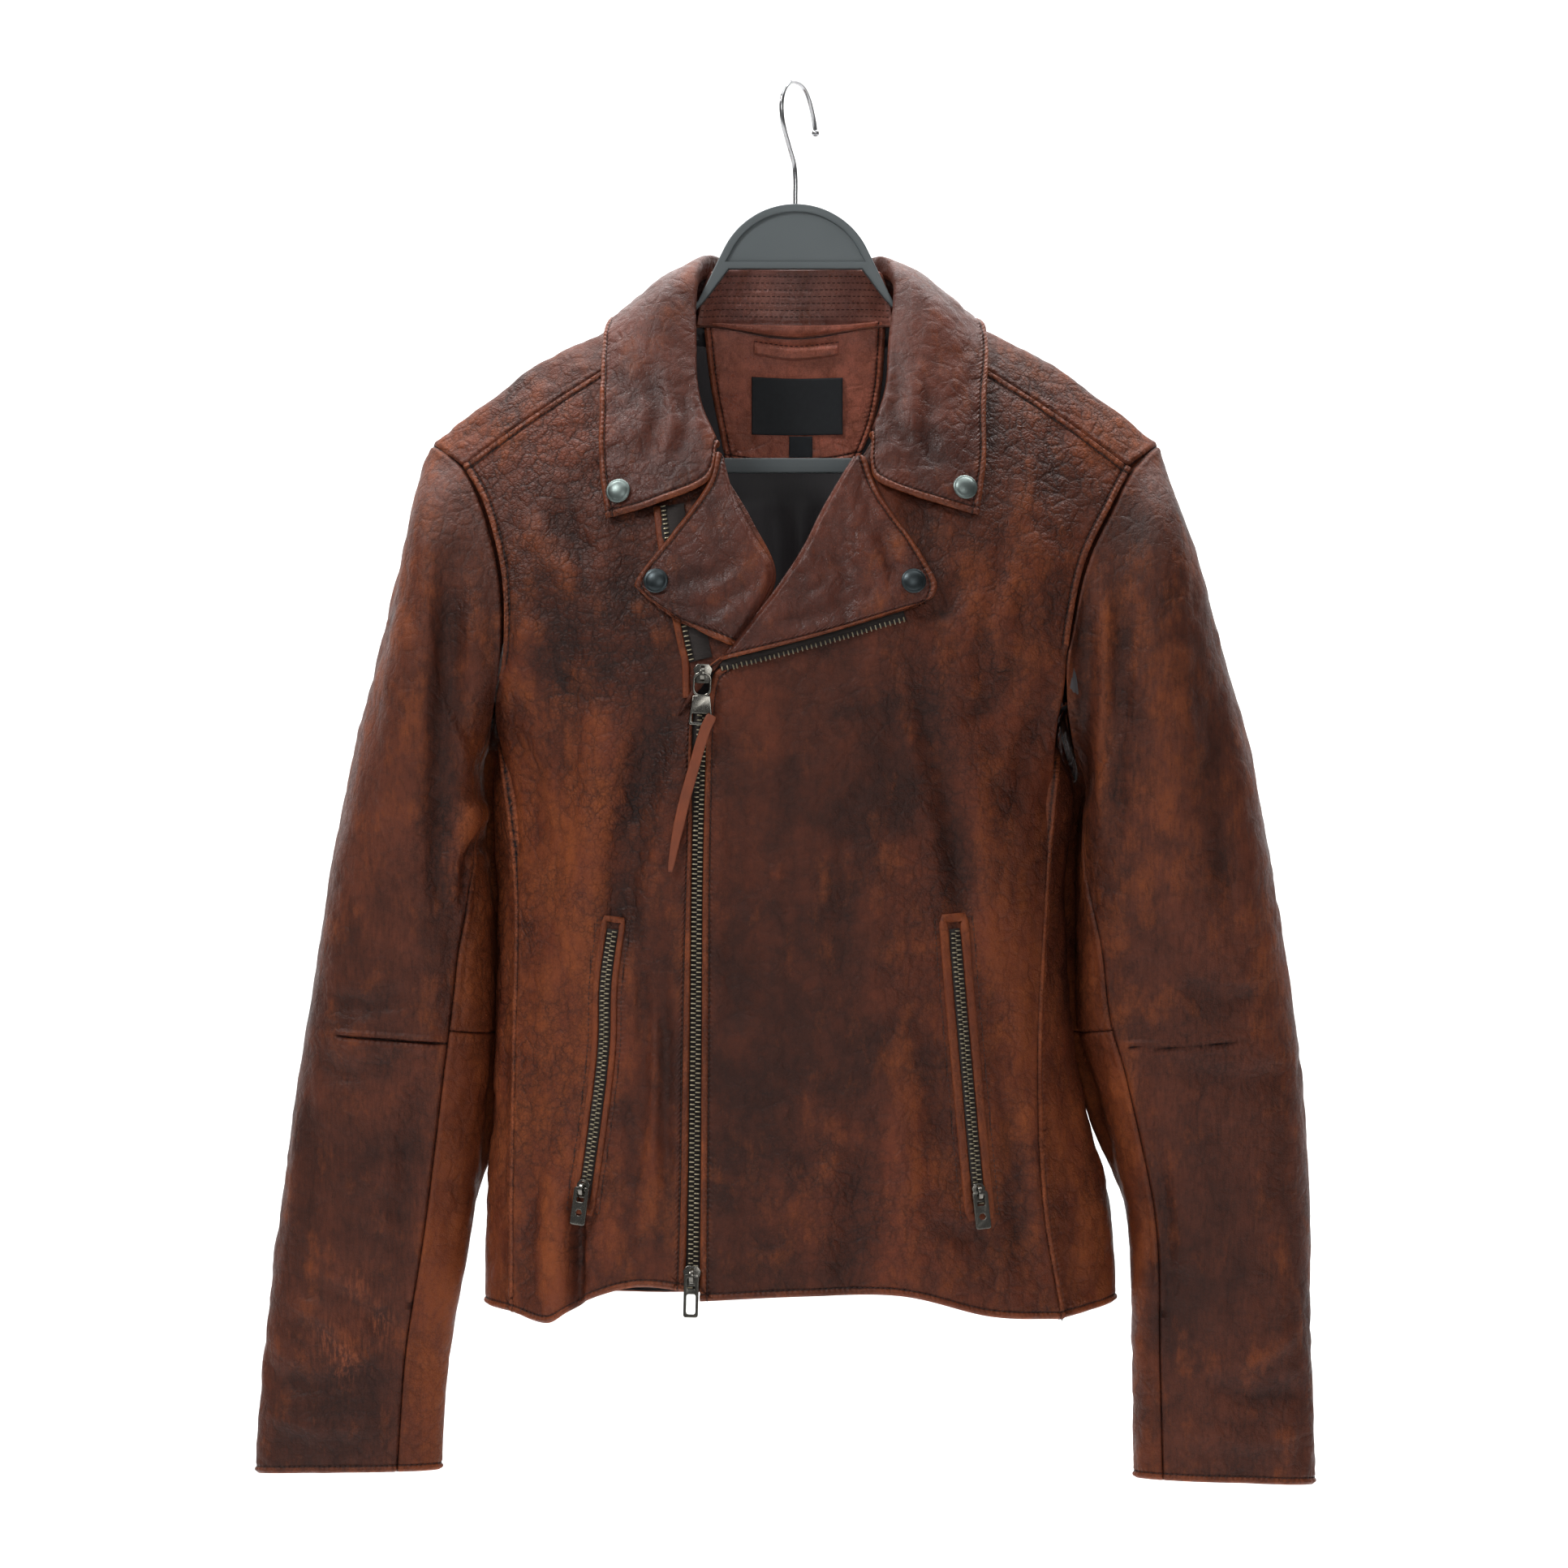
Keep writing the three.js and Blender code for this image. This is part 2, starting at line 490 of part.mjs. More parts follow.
// A slider: a waisted plate 1.6 thick with a bridge over it that the pull's bar lies under.
function slider(w, l) {
  const k = w * 0.4;
  const base = solidOf(extruded([[-k, -l / 2], [k, -l / 2], [k, -l / 6], [w / 2, l / 4],
    [w * 0.3, l / 2], [-w * 0.3, l / 2], [-w / 2, l / 4], [-k, -l / 6]], 1.6));
  // the arch is drawn along the zip and outwards, then turned to stand across it
  const stand = (outline, deep) => solidOf(extruded(outline, deep).translate(0, 0, -deep / 2)
    .applyMatrix4(new THREE.Matrix4().set(0, 0, 1, 0, 1, 0, 0, 0, 0, 1, 0, 1.6, 0, 0, 0, 1)));
  const bridge = stand([[4.8, -1], ...arch(4.8, 4.6), [-4.8, -1]], BRIDGE);
  const eye = stand([[3.5, 0], ...arch(3.5, 3.5), [-3.5, 0]], 9);
  return base.add(bridge.subtract(eye));
}
const EYE = 1.6 + 0.6; // height of the underside of the pull's bar over the slider's foot
// A pull hangs from its bar, whose middle is at the origin.
function pull(w, l, holes) {
  const window = rect(-2.4, -8, 2.4, -1, 0.4);
  return solidOf(extruded(rect(-w / 2, -l, w / 2, 1, 1.2), BAR, window, ...holes));
}
const SLIDERS = {
  main: { place: [-55.6, -364.5], size: [11.5, 11.5], lean: 0.04, base: 2.2 },
  low: { place: [-62.1, -727.5], size: [11, 12], lean: 0.02, base: 1.9 },
  pocket_r: { place: POCKETS.r.slider, size: [8.4, 11], lean: 0.13, base: 2.5 },
  pocket_l: { place: POCKETS.l.slider, size: [8.4, 11], lean: -0.1, base: 2.5 },
};
const HEX = Array.from({ length: 6 }, (_, i) => [2.2 * Math.cos((i * Math.PI) / 3),
  -14.5 + 2.2 * Math.sin((i * Math.PI) / 3)]);
const link = solidOf(extruded(rect(-5.7, -14, 5.7, 1, 3), BAR, rect(-4, -12.4, 4, -1, 2)));
const tab = solidOf(extruded(rect(-7.5, -31, 7.5, -13, 1.5), BAR, rect(-5, -29, 5, -24, 0.8),
  rect(-3.4, -21.6, 3.4, -14.6, 1)));
const PULLS = {
  main: link.add(tab),
  low: pull(9, 25, [rect(-2.8, -23, 2.8, -11, 1.4)]),
  pocket_r: pull(9.6, 22, [HEX]),
  pocket_l: pull(9.6, 22, [HEX]),
};
const HINGES = {};
for (const [k, { place, size, lean, base }] of Object.entries(SLIDERS)) {
  add("slider_" + k, onto(slider(...size), place, base, lean), "metal");
  add("pull_" + k, onto(PULLS[k], place, base + EYE, lean), "metal");
  const m = matrixOnto(place, base + EYE, lean);
  HINGES[k] = { pos: V(0, 0, BAR / 2).applyMatrix4(m), axis: V(-1, 0, 0).transformDirection(m) };
}
part.userData.hinges = HINGES; // the record's joints repeat these
// ---- thong: a leather lace tied through the main pull's tab ------------------------------
// [x, z, out]: over the tab's lower bar, then down the front under its own weight
const THONG = [
  [-49.5, -389.5, 8.6], [-51, -392.5, 9], [-53, -396.5, 8.6], [-55, -402, 7.4], [-57, -408, 6.2],
  [-59, -415, 5.4], [-61, -422, 5], [-63, -429, 4.8], [-65, -436, 4.6], [-66.8, -443, 4.4],
  [-68.5, -450, 4.3], [-70, -457, 4.2], [-71.5, -464, 4.2], [-72.8, -471, 4.2], [-74, -478, 4.2],
  [-75, -484, 4.2],
];
const THONG_W = 6.5, THONG_T = 1.6;
{
  const line = THONG.map(([x, z, out]) => {
    const { p, n } = facing(x, z);
    return p.addScaledVector(n, out);
  });
  const curve = new THREE.CatmullRomCurve3(line);
  // a flat section of ten sides, swept with its width kept along the cloth
  const section = Array.from({ length: 10 }, (_, i) => {
    const a = (i * Math.PI) / 5, soft = (t) => Math.sign(t) * Math.abs(t) ** 0.5;
    return [(soft(Math.cos(a)) * THONG_W) / 2, (soft(Math.sin(a)) * THONG_T) / 2];
  });
  const points = [], faces = [], STEPS = 18, m = section.length;
  for (let k = 0; k <= STEPS; k++) {
    const p = curve.getPoint(k / STEPS), along = curve.getTangent(k / STEPS);
    const across = along.clone().cross(V(0, -1, 0)).normalize();
    const up = across.clone().cross(along);
    for (const [w, t] of section)
      points.push(p.clone().addScaledVector(across, w).addScaledVector(up, t));
  }
  for (let k = 0; k < STEPS; k++)
    for (let i = 0; i < m; i++) {
      const j = (i + 1) % m, a = k * m, c = a + m;
      faces.push([a + i, a + j, c + j], [a + i, c + j, c + i]);
    }
  for (let i = 1; i < m - 1; i++)
    faces.push([0, i + 1, i], [STEPS * m, STEPS * m + i, STEPS * m + i + 1]);
  add("thong", solid(points, faces), "thong");
}

// ---- collar: rows from inside the roll, over it, and down to the outer edge; from the front
// end on the wearer's right, round the back of the neck, to the end on the left
const c = (x, z, lift) => f(x, z).add(V(0, -lift, 0));
const COLLAR_R = [
  [c(-45, -226, -3), c(-47.5, -227, 3.5), c(-53, -247, 7), c(-84, -261, 7.5), c(-115, -270, 6)],
  [c(-57.5, -196, -5), c(-60, -196, 3.5), c(-77, -208, 8), c(-99, -222, 7.5), c(-119.5, -236, 6)],
  [c(-61, -163, -5), c(-62, -163, 3.5), c(-79, -176, 8.5), c(-100, -190, 7.5), c(-119.5, -201, 6)],
  [V(-60, -7, -129), V(-61.5, -13, -120), V(-79, -24, -130), V(-100, -26, -148), V(-119, -23, -166)],
  [V(-53, 15, -118), V(-55, 12, -105), V(-75, 5, -114), V(-95, 3, -130), V(-114, 2, -145)],
  [V(-33, 32, -118), V(-35, 38, -105), V(-53, 41, -117), V(-73, 44, -137), V(-90, 45, -160)],
  [V(0, 37, -119), V(0, 44, -106), V(0, 51, -119), V(0, 57, -145), V(0, 65, -178)],
];
const mirrored = (row) => row.map((p) => V(-p.x, p.y, p.z));
const COLLAR = [...COLLAR_R, ...COLLAR_R.slice(0, -1).reverse().map(mirrored)];
// the left end hangs a little nearer the middle than the right one
COLLAR[12] = [c(44, -221, -3), c(46.5, -222, 3.5), c(48, -246, 7), c(77, -258, 7.5), c(111, -268, 6)];
COLLAR[11] = [c(54, -192, -5), c(56, -192, 3.5), c(73, -206, 8), c(95, -220, 7.5), c(116, -234, 6)];
COLLAR[10] = [c(57, -163, -5), c(58.5, -163, 3.5), c(76, -176, 8.5), c(97, -188, 7.5), c(116.5, -198, 6)];
const collarAt = loft(COLLAR);
const collarGrid = gridOf(collarAt, 8, 24);
const hollow = inwards(collarGrid, V(0, 0, -300));
panel("collar", collarGrid, 0, hollow * FOLDED, "leather", "lapel_r", "lapel_l");

// ---- inside the back of the neck ---------------------------------------------------------
// stand: from the neck seam up to the roll, standing behind the hanger
const stand = loft([
  [V(-51, 9.5, -115), V(-42, 18, -113), V(-24, 27, -112), V(0, 30.5, -112), V(24, 27, -112),
    V(42, 18, -113), V(51, 9.5, -115)],
  [V(-56, 11.5, -129), V(-45, 22, -129), V(-25, 31, -128.5), V(0, 34.5, -128.5),
    V(25, 31, -128.5), V(45, 22, -129), V(56, 11.5, -129)],
  [V(-59, 16, -143), V(-47, 26, -144), V(-26, 34, -145), V(0, 37, -145.5), V(26, 34, -145),
    V(47, 26, -144), V(59, 16, -143)],
]);
const standGrid = gridOf(stand, 12, 4);
panel("collar_stand", standGrid, 0, inwards(standGrid, V(0, 200, -130)) * FOLDED, "leather",
  "collar");

// a patch on the inside of the back, `low` to `high` in from the back's outer face
const onBack = (rows) => {
  const flat = loft(rows.map((r) => r.map(([x, z]) => V(x, 0, z))));
  return (u, v) => {
    const p = flat(u, v);
    return b(p.x, p.z);
  };
};
function inner(name, rows, nu, nv, low, high, finish) {
  const grid = gridOf(onBack(rows), nu, nv), s = inwards(grid, MIDDLE);
  return panel(name, grid, s * low, s * high, finish);
}
inner("lining_back", [
  [[-66, -156], [-30, -160], [0, -161], [30, -160], [66, -156]],
  [[-100, -220], [-50, -222], [0, -222], [50, -222], [100, -220]],
  [[-112, -320], [-56, -320], [0, -320], [56, -320], [110, -320]],
  [[-112, -430], [-56, -430], [0, -430], [56, -430], [110, -430]],
], 9, 9, 4, 4 + CLOTH, "lining");
inner("neck_facing", [
  [[-58, -149], [-30, -150.5], [0, -151], [30, -150.5], [57, -148]],
  [[-54, -176], [-28, -178], [0, -178], [28, -178], [55, -176]],
  [[-49, -203], [-25, -205], [0, -205], [25, -205], [50, -202]],
  [[-44, -227], [-23, -230], [-1, -231], [21, -229], [41, -225]],
], 8, 6, 5.8, 5.8 + LEATHER, "leather");
inner("label", [
  [[-27.5, -174], [1, -175], [30, -174.5]],
  [[-27.5, -210], [1, -210.5], [30, -210]],
], 6, 4, 7.6, 7.6 + 0.8, "tape");
inner("size_tag", [[[-4, -211.2], [11, -211.2]], [[-4, -224.5], [11, -224.5]]],
  2, 2, 7.8, 7.8 + 0.6, "tape");
inner("hang_loop", [
  [[-26, -152.5], [0, -155.5], [27, -153]],
  [[-26, -158.5], [0, -162], [27, -159]],
], 8, 1, 7.6, 7.6 + 2, "leather");

// ---- snaps -------------------------------------------------------------------------------
// A domed cap on a thin rim, its foot at the origin, standing up +Z.
function snap() {
  const profile = [[0, 0], [6.7, 0], [7.3, 0.4], [SNAP_R, 1], [6.8, 1.6], [6.2, 1.7], [4.6, 2.5],
    [2.4, 3.1], [0, 3.3]].map(([r, z]) => new THREE.Vector2(r, z));
  return solidOf(new THREE.LatheGeometry(profile, 20).rotateX(Math.PI / 2));
}
add("snap_lapel_r", onto(snap(), [-83.5, -309.5], LAPEL_TOP + 0.4, 0), "metal");
add("snap_lapel_l", onto(snap(), [70.5, -309.5], LAPEL_TOP + 0.4, 0), "metal");
// on the collar: the place is found on its surface, and its normal is the surface's
function onCollar(u, v) {
  const e = 0.01, p = collarAt(u, v);
  const n = collarAt(u + e, v).sub(collarAt(u - e, v))
    .cross(collarAt(u, v + e).sub(collarAt(u, v - e))).normalize();
  if (n.y > 0) n.negate();
  const up = V(0, 0, 1), y = up.addScaledVector(n, -up.dot(n)).normalize();
  return new THREE.Matrix4().makeBasis(V().crossVectors(y, n), y, n)
    .setPosition(p.addScaledVector(n, 0.45)).elements;
}
add("snap_collar_r", snap().transform(onCollar(0.91, 0.03)), "metal");
add("snap_collar_l", snap().transform(onCollar(0.91, 0.97)), "metal");

// ---- hanger and hook ---------------------------------------------------------------------
const arc = (cx, cz, r, from, to, n) => Array.from({ length: n + 1 }, (_, i) => {
  const a = from + (i * (to - from)) / n;
  return [cx + r * Math.cos(a), cz + r * Math.sin(a)];
});
const both = (right) => [...right, ...right.map(([x, z]) => [-x, z]).reverse()];
// the arm's upper edge follows the shoulder ridge, a little under it
const ARM_TOP = [[60, -134], [90, -146.5], [117, -159.5], [150, -178.5], [172, -192],
  [188, -204.5], [200, -217], [203, -227], [198, -237], [189, -239.5]];
const ARM_UNDER = [[182, -230.5], [184, -223], [176, -212], [150, -195.5], [112, -173], [84, -156.5],
  [60, -138], [41, -114]];
const DOME = arc(0, -123, 49, 0.46, Math.PI - 0.46, 14);
const outline = [...ARM_TOP.slice().reverse(), ...DOME, ...ARM_TOP.map(([x, z]) => [-x, z])];
const upright = (o, deep, y, ...holes) =>
  solidOf(extruded(o, deep, ...holes).rotateX(Math.PI / 2).translate(0, y + deep, 0));
const RECESS = 2.4;
const sunk = [...arc(0, -123, 44, 0.5, Math.PI - 0.5, 12), [-50, -120], [-61, -133], [-56, -133],
  [-40, -109.5], [40, -109.5], [56, -133], [61, -133], [50, -120]];
const HOOK_TURN = (64 * Math.PI) / 180;
const HOOK = [[0, -86], [0, -78], [0, -68], [0, -58], [-2, -49], [-9.5, -38], [-17, -26],
  [-19.5, -15], [-16.5, -6], [-9, -0.2], [0, 1.5], [10, -0.4], [18, -6.4], [23.5, -14.5],
  [27, -22], [28.5, -27.5]];
const onHook = ([h, z]) => V(h * Math.cos(HOOK_TURN), h * Math.sin(HOOK_TURN), z);
function rod(r, points) {
  const shape = new THREE.Shape();
  shape.absarc(0, 0, r, 0, 2 * Math.PI);
  return solidOf(new THREE.ExtrudeGeometry(shape, { steps: 44, curveSegments: 5,
    bevelEnabled: false, extrudePath: new THREE.CatmullRomCurve3(points) }));
}
const socket = solidOf(new THREE.CylinderGeometry(HOOK_WIRE / 2 + 0.3, HOOK_WIRE / 2 + 0.3, 30, 16)
  .rotateX(Math.PI / 2).translate(0, 0, -73));
add("hanger", upright(outline, HANGER_T, -HANGER_T / 2, both(ARM_UNDER))
  .subtract(upright(sunk, 10, HANGER_T / 2 - RECESS))
  .subtract(upright(sunk, 10, RECESS - 10 - HANGER_T / 2)).subtract(socket), "plastic");
const ball = solidOf(new THREE.IcosahedronGeometry(2.5, 2)).translate(onHook(HOOK.at(-1)).toArray());
add("hook", rod(HOOK_WIRE / 2, HOOK.map(onHook)).add(ball), "metal");

export default part;
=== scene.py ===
# %% [markdown]
# # A worn leather jacket on a hanger
# The jacket hangs on a plastic hanger with a wire hook. The imported model gives each sewn piece as
# a plain solid. This lesson makes every piece again as a thin shell with seams, folds and grain,
# in the same place, and gives it a finish. Lengths are in millimetres until a mesh is made.

# %% [markdown]
# ## The frame
# The frame holds the imported model's nodes and bodies, and the number of its nodes is printed
# before anything is added.

# %% Load the frame
import math

import bmesh
import bpy
import numpy as np
from mathutils import Matrix, Vector, noise
from mathutils.bvhtree import BVHTree


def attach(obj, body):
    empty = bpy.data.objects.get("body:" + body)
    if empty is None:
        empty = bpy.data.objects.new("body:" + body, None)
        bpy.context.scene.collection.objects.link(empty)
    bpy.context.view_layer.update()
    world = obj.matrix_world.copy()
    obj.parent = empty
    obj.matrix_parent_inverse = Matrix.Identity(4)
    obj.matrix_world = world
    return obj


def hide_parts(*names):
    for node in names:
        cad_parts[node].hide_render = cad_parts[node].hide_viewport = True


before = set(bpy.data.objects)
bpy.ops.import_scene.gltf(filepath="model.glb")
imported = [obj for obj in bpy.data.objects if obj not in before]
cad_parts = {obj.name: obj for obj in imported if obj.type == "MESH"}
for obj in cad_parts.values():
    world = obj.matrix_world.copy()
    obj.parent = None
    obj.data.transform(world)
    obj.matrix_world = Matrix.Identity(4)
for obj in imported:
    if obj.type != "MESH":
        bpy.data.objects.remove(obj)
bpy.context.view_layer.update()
MM = 0.001


def add_object(name, data):
    """Makes an object of a mesh, a lamp or a camera and puts it in the scene."""
    made = bpy.data.objects.new(name, data)
    bpy.context.scene.collection.objects.link(made)
    return made


print("nodes in the frame:", len(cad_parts))

# %% [markdown]
# ## Camera
# A hanging jacket is seen best from straight ahead, at the height of its middle and from far enough away
# for the shoulders and the hem to keep their sizes. A long lens does that.

# %% Camera
CAMERA_BACK = 4.0  # metres from the hanger's plane
VIEW_WIDTH = 0.966  # what the view spans in that plane
camera_data = bpy.data.cameras.new("camera")
camera = add_object("camera", camera_data)
bpy.context.scene.camera = camera
camera.location = (-0.007, -CAMERA_BACK, -0.431)
camera.rotation_euler = (math.pi / 2, 0, 0)
camera_data.lens = camera_data.sensor_width * CAMERA_BACK / VIEW_WIDTH
print("lens", round(camera_data.lens), "mm")

# %% [markdown]
# ## Curves and lofted surfaces
# A pattern piece is a surface through a few rows of given points. A Catmull-Rom curve passes
# through its points, so the rows read like measurements taken off the garment. The same curve
# along a row (u) and from row to row (v) gives a smooth surface.

# %% Curves and lofted surfaces
def through(pairs):
    """A smooth curve through [x, value] pairs, given in rising x."""
    x, y = np.array(pairs, float).T
    last = len(x) - 1
    before, after = np.maximum(np.arange(last + 1) - 1, 0), np.minimum(np.arange(last + 1) + 1, last)
    slope = (y[after] - y[before]) / (x[after] - x[before])

    def curve(at):
        at = np.asarray(at, float)
        i = np.clip(np.searchsorted(x, at) - 1, 0, last - 1)
        h = x[i + 1] - x[i]
        t = np.clip((at - x[i]) / h, 0, 1)
        s = 1 - t
        return (y[i] * (1 + 2 * t) * s * s + y[i + 1] * (3 - 2 * t) * t * t
                + h * (slope[i] * t * s * s - slope[i + 1] * t * t * s))
    return curve


def padded_ends(net):
    """Adds a point before the first and after the last, straight on."""
    return np.concatenate([2 * net[:1] - net[1:2], net, 2 * net[-1:] - net[-2:-1]])


def spans(t, count):
    """The span that t falls in, and the weights of the four points round it."""
    s = np.clip(t, 0, 1) * count
    i = np.minimum(s.astype(int), count - 1)
    w = s - i
    return i, 0.5 * np.stack([-w + 2 * w**2 - w**3, 2 - 5 * w**2 + 3 * w**3,
                              w + 4 * w**2 - 3 * w**3, w**3 - w**2])


def loft(rows, closed=False):
    """A surface through rows of points: u along a row, v from the first row to the last."""
    net = np.array(rows, float)
    rows_v = len(net) - 1
    spans_u = net.shape[1] - (0 if closed else 1)
    net = padded_ends(net)
    if closed:
        net = np.concatenate([net[:, -1:], net, net[:, :2]], axis=1)
    else:
        net = padded_ends(net.transpose(1, 0, 2)).transpose(1, 0, 2)

    def surface(u, v):
        u, v = np.broadcast_arrays(np.asarray(u, float), np.asarray(v, float))
        i, weight_u = spans(u % 1 if closed else u, spans_u)
        j, weight_v = spans(v, rows_v)
        return sum((weight_v[b] * weight_u[a])[..., None] * net[j + b, i + a]
                   for a in range(4) for b in range(4))
    return surface


def curve_through(points, count):
    """Points along the smooth curve through the given ones."""
    return loft([points, points])(np.linspace(0, 1, count), 0)


def flat_curve(points, count):
    """The smooth curve through [x, z] points."""
    return curve_through([(x, 0, z) for x, z in points], count)[:, [0, 2]]


def length_of(points):
    return np.linalg.norm(np.diff(points, axis=0), axis=1).sum()


def run_along(points):
    """How far along a line each of its points lies."""
    return np.concatenate([[0], np.linalg.norm(np.diff(points, axis=0), axis=1).cumsum()])


def read_at(values, at, run):
    """Values given at the points of a line, read at other distances along it."""
    return np.stack([np.interp(at, run, values[:, k]) for k in range(3)], axis=-1)


def soft_power(wave, power):
    """A sine or cosine made squarer, with its sign kept."""
    return np.sign(wave) * np.abs(wave) ** power


# %% [markdown]
# ## The form that the jacket hangs in
# Cloth has no shape of its own: a jacket on a hanger takes the shoulders' slope at the top and
# hangs as a flat, rounded tube below. Half widths, the shoulder ridge and the depth down the
# front say all of that, and every piece of the body is laid on this one form.

# %% The body's form
DEPTH = 88  # hanger's plane to the chest, and to the shoulder blades
ROUND = 2.3  # exponent of the body's cross section: 2 is an ellipse
CHEST_Z = -340  # above this height the cloth closes in to the shoulders

half_right = through([
    [-760, 190], [-668, 188.5], [-634, 187], [-573, 182.5], [-500, 181.5], [-468, 176.5],
    [-430, 179.5], [-402, 188], [-384, 196], [-356, 217], [-341, 225], [-313, 230], [-240, 240]])
half_left = through([
    [-760, 198.5], [-669, 192], [-626, 179.5], [-576, 167.5], [-448, 166.5], [-417, 170],
    [-393, 182], [-375, 195], [-344, 208], [-313, 218], [-292, 228], [-240, 240]])
ridge = through([
    [0, -118], [60, -127], [117, -152], [150, -169.5], [174, -182], [195, -194.5],
    [211, -207], [223.5, -222], [240, -250]])
hang = through([[-760, 1.02], [-640, 0.97], [-520, 0.96], [-400, 1.01], [-300, 1], [-100, 1]])


def depth(x, z, shoulder):
    """How far the form stands in front of the hanger's plane, or behind it."""
    half = np.where(x < 0, half_right(z), half_left(z))
    across = np.clip(1 - (np.abs(x) / half) ** ROUND, 0, 1) ** (1 / ROUND)
    t = np.clip((z - CHEST_Z) / (ridge(np.abs(x)) - CHEST_Z), 0, 1)
    return DEPTH * hang(z) * across * np.clip(1 - t**shoulder, 0, 1) ** (1 / shoulder)


def front(x, z):
    """A point on the front of the body."""
    x, z = np.asarray(x, float), np.asarray(z, float)
    return np.stack([x, -depth(x, z, 1.5), z], axis=-1)


def back(x, z):
    """A point on the back of the body."""
    x, z = np.asarray(x, float), np.asarray(z, float)
    return np.stack([x, depth(x, z, 1.8), z], axis=-1)


def unit(v):
    return v / np.maximum(np.linalg.norm(v, axis=-1, keepdims=True), 1e-9)


def front_normal(x, z):
    e = 0.5
    n = unit(np.cross(front(x + e, z) - front(x - e, z), front(x, z + e) - front(x, z - e)))
    return np.where(n[..., 1:2] > 0, -n, n)


def laid_on(form, rows):
    """A loft of [x, z] points, laid on the front or on the back."""
    flat = loft(rows)
    return lambda u, v: form(*np.moveaxis(flat(u, v), -1, 0))


print("chest depth", DEPTH, "mm")

# %% [markdown]
# ## Relief: seams, folds and creases
# What makes leather look like leather is its relief. An edge that is turned under stands up as a
# small roll with a groove where the stitches pull it down. A plain seam is a valley. A lapped
# seam has its allowance stitched flat beside it, as a low band. Each is a height worked out from
# the distance to the piece's border, so it follows any outline. Drape folds are soft troughs and
# ridges along given lines, and the small crumple comes from seeded noise.

# %% Seams
def hump(d, width):
    """1 at d = 0, falling softly to nothing at `width`."""
    return np.clip(1 - (d / width) ** 2, 0, 1) ** 2


def smooth(t):
    t = np.clip(t, 0, 1)
    return t * t * (3 - 2 * t)


def turned(d):
    """An edge folded under and topstitched."""
    return -1.5 * hump(d, 1.4) + 0.65 * hump(d - 2.2, 2.2) - 0.75 * hump(d - 4.3, 1.3)


def joined(d):
    """A plain seam, pressed open."""
    return -1.1 * hump(d, 1.6) + 0.3 * hump(d - 3, 2.4)


def lapped(d):
    """A seam with its allowance topstitched down beside it."""
    band = smooth(d / 1.4) * (1 - smooth((d - 3.6) / 1.0))
    return -1.1 * hump(d, 1.2) + 0.8 * band - 0.8 * hump(d - 4.9, 1.3)


def bound(d):
    """The front edge beside a zip: a narrow stitched band."""
    band = smooth(d / 1.0) * (1 - smooth((d - 3.4) / 0.9))
    return -0.9 * hump(d, 1.0) + 0.8 * band - 0.7 * hump(d - 4.6, 1.2)


def rolled(d):
    """A soft fold with no stitches, such as the line that a lapel turns on."""
    return -3.2 * hump(d, 4.5)


def inside(d):
    """An edge that runs under another piece."""
    return -0.8 * hump(d, 2.5)


def woven_edge(d):
    """The cut and folded edge of a woven label."""
    return -0.25 * hump(d, 0.9)


STITCH_AT = {turned: 4.3, lapped: 4.9, bound: 4.6}
TUCKED = {joined, lapped}  # seams whose allowance lies under the neighbour


def in_turn(*parts):
    """Treatments one after another down a border: (treatment, share where it ends), ..."""
    return parts


def parts_of(border):
    return border if isinstance(border, tuple) else ((border, 2.0),)


# %% [markdown]
# A fold is a hump across a line of points, fading out at both ends. The fine crumple and the slow
# swell of the leather come from smooth noise at a fixed place, so they never change.

# %% Folds and crumple
def distance_to(points):
    """How far the cloth lies from a line of [x, z] points, and where along the line."""
    line = flat_curve(points, 24)

    def at(p):
        q = p[..., [0, 2]]
        nearest, share = np.full(q.shape[:-1], 1e9), np.zeros(q.shape[:-1])
        for k, (here, there) in enumerate(zip(line, line[1:])):
            step = there - here
            t = np.clip(((q - here) @ step) / (step @ step), 0, 1)
            d = np.linalg.norm(q - here - t[..., None] * step, axis=-1)
            share = np.where(d < nearest, (k + t) / (len(line) - 1), share)
            nearest = np.minimum(nearest, d)
        return nearest, share
    return at


def crease(points, width, height):
    """A soft ridge along a line of [x, z] points, or a trough if the height is negative."""
    off = distance_to(points)

    def at(p):
        d, share = off(p)
        return height * hump(d, width) * smooth(np.minimum(share, 1 - share) / 0.3)
    return at


def grain_noise(p, size, shift=0.0):
    """Smooth noise, about -1 to 1, with features of `size` millimetres along X, Y and Z."""
    q = (p / np.array(size, float) + shift).reshape(-1, 3)
    return np.array([noise.noise(v) for v in q.tolist()]).reshape(p.shape[:-1])


def crumple(p):
    """Puffed leather between fine creases: 0 in a crease, 1 on top."""
    wide = np.abs(grain_noise(p, (21, 21, 27), 3.1))
    fine = np.abs(grain_noise(p, (9, 9, 11), 7.7))
    return np.clip(1.7 * wide + 0.9 * fine, 0, 1.2) / 1.2


def sway(p):
    """The slow swell of hanging leather, longer down the cloth than across it."""
    return grain_noise(p, (34, 50, 130), 11.3) + 0.45 * grain_noise(p, (17, 25, 75), 5.9)


print("a pressed seam is", abs(float(joined(np.array(0.0)))), "mm deep")

# %% [markdown]
# ## Where the leather is dark, and where it is worn
# Waxed leather starts dark and loses its finish where it rubs: along the sides, inside the arms
# and on the shoulders. In places it has shrunk into pebbles, and one forearm is scraped. Tables of
# soft spots say where, and every point of the leather keeps them as numbers that its finish reads.

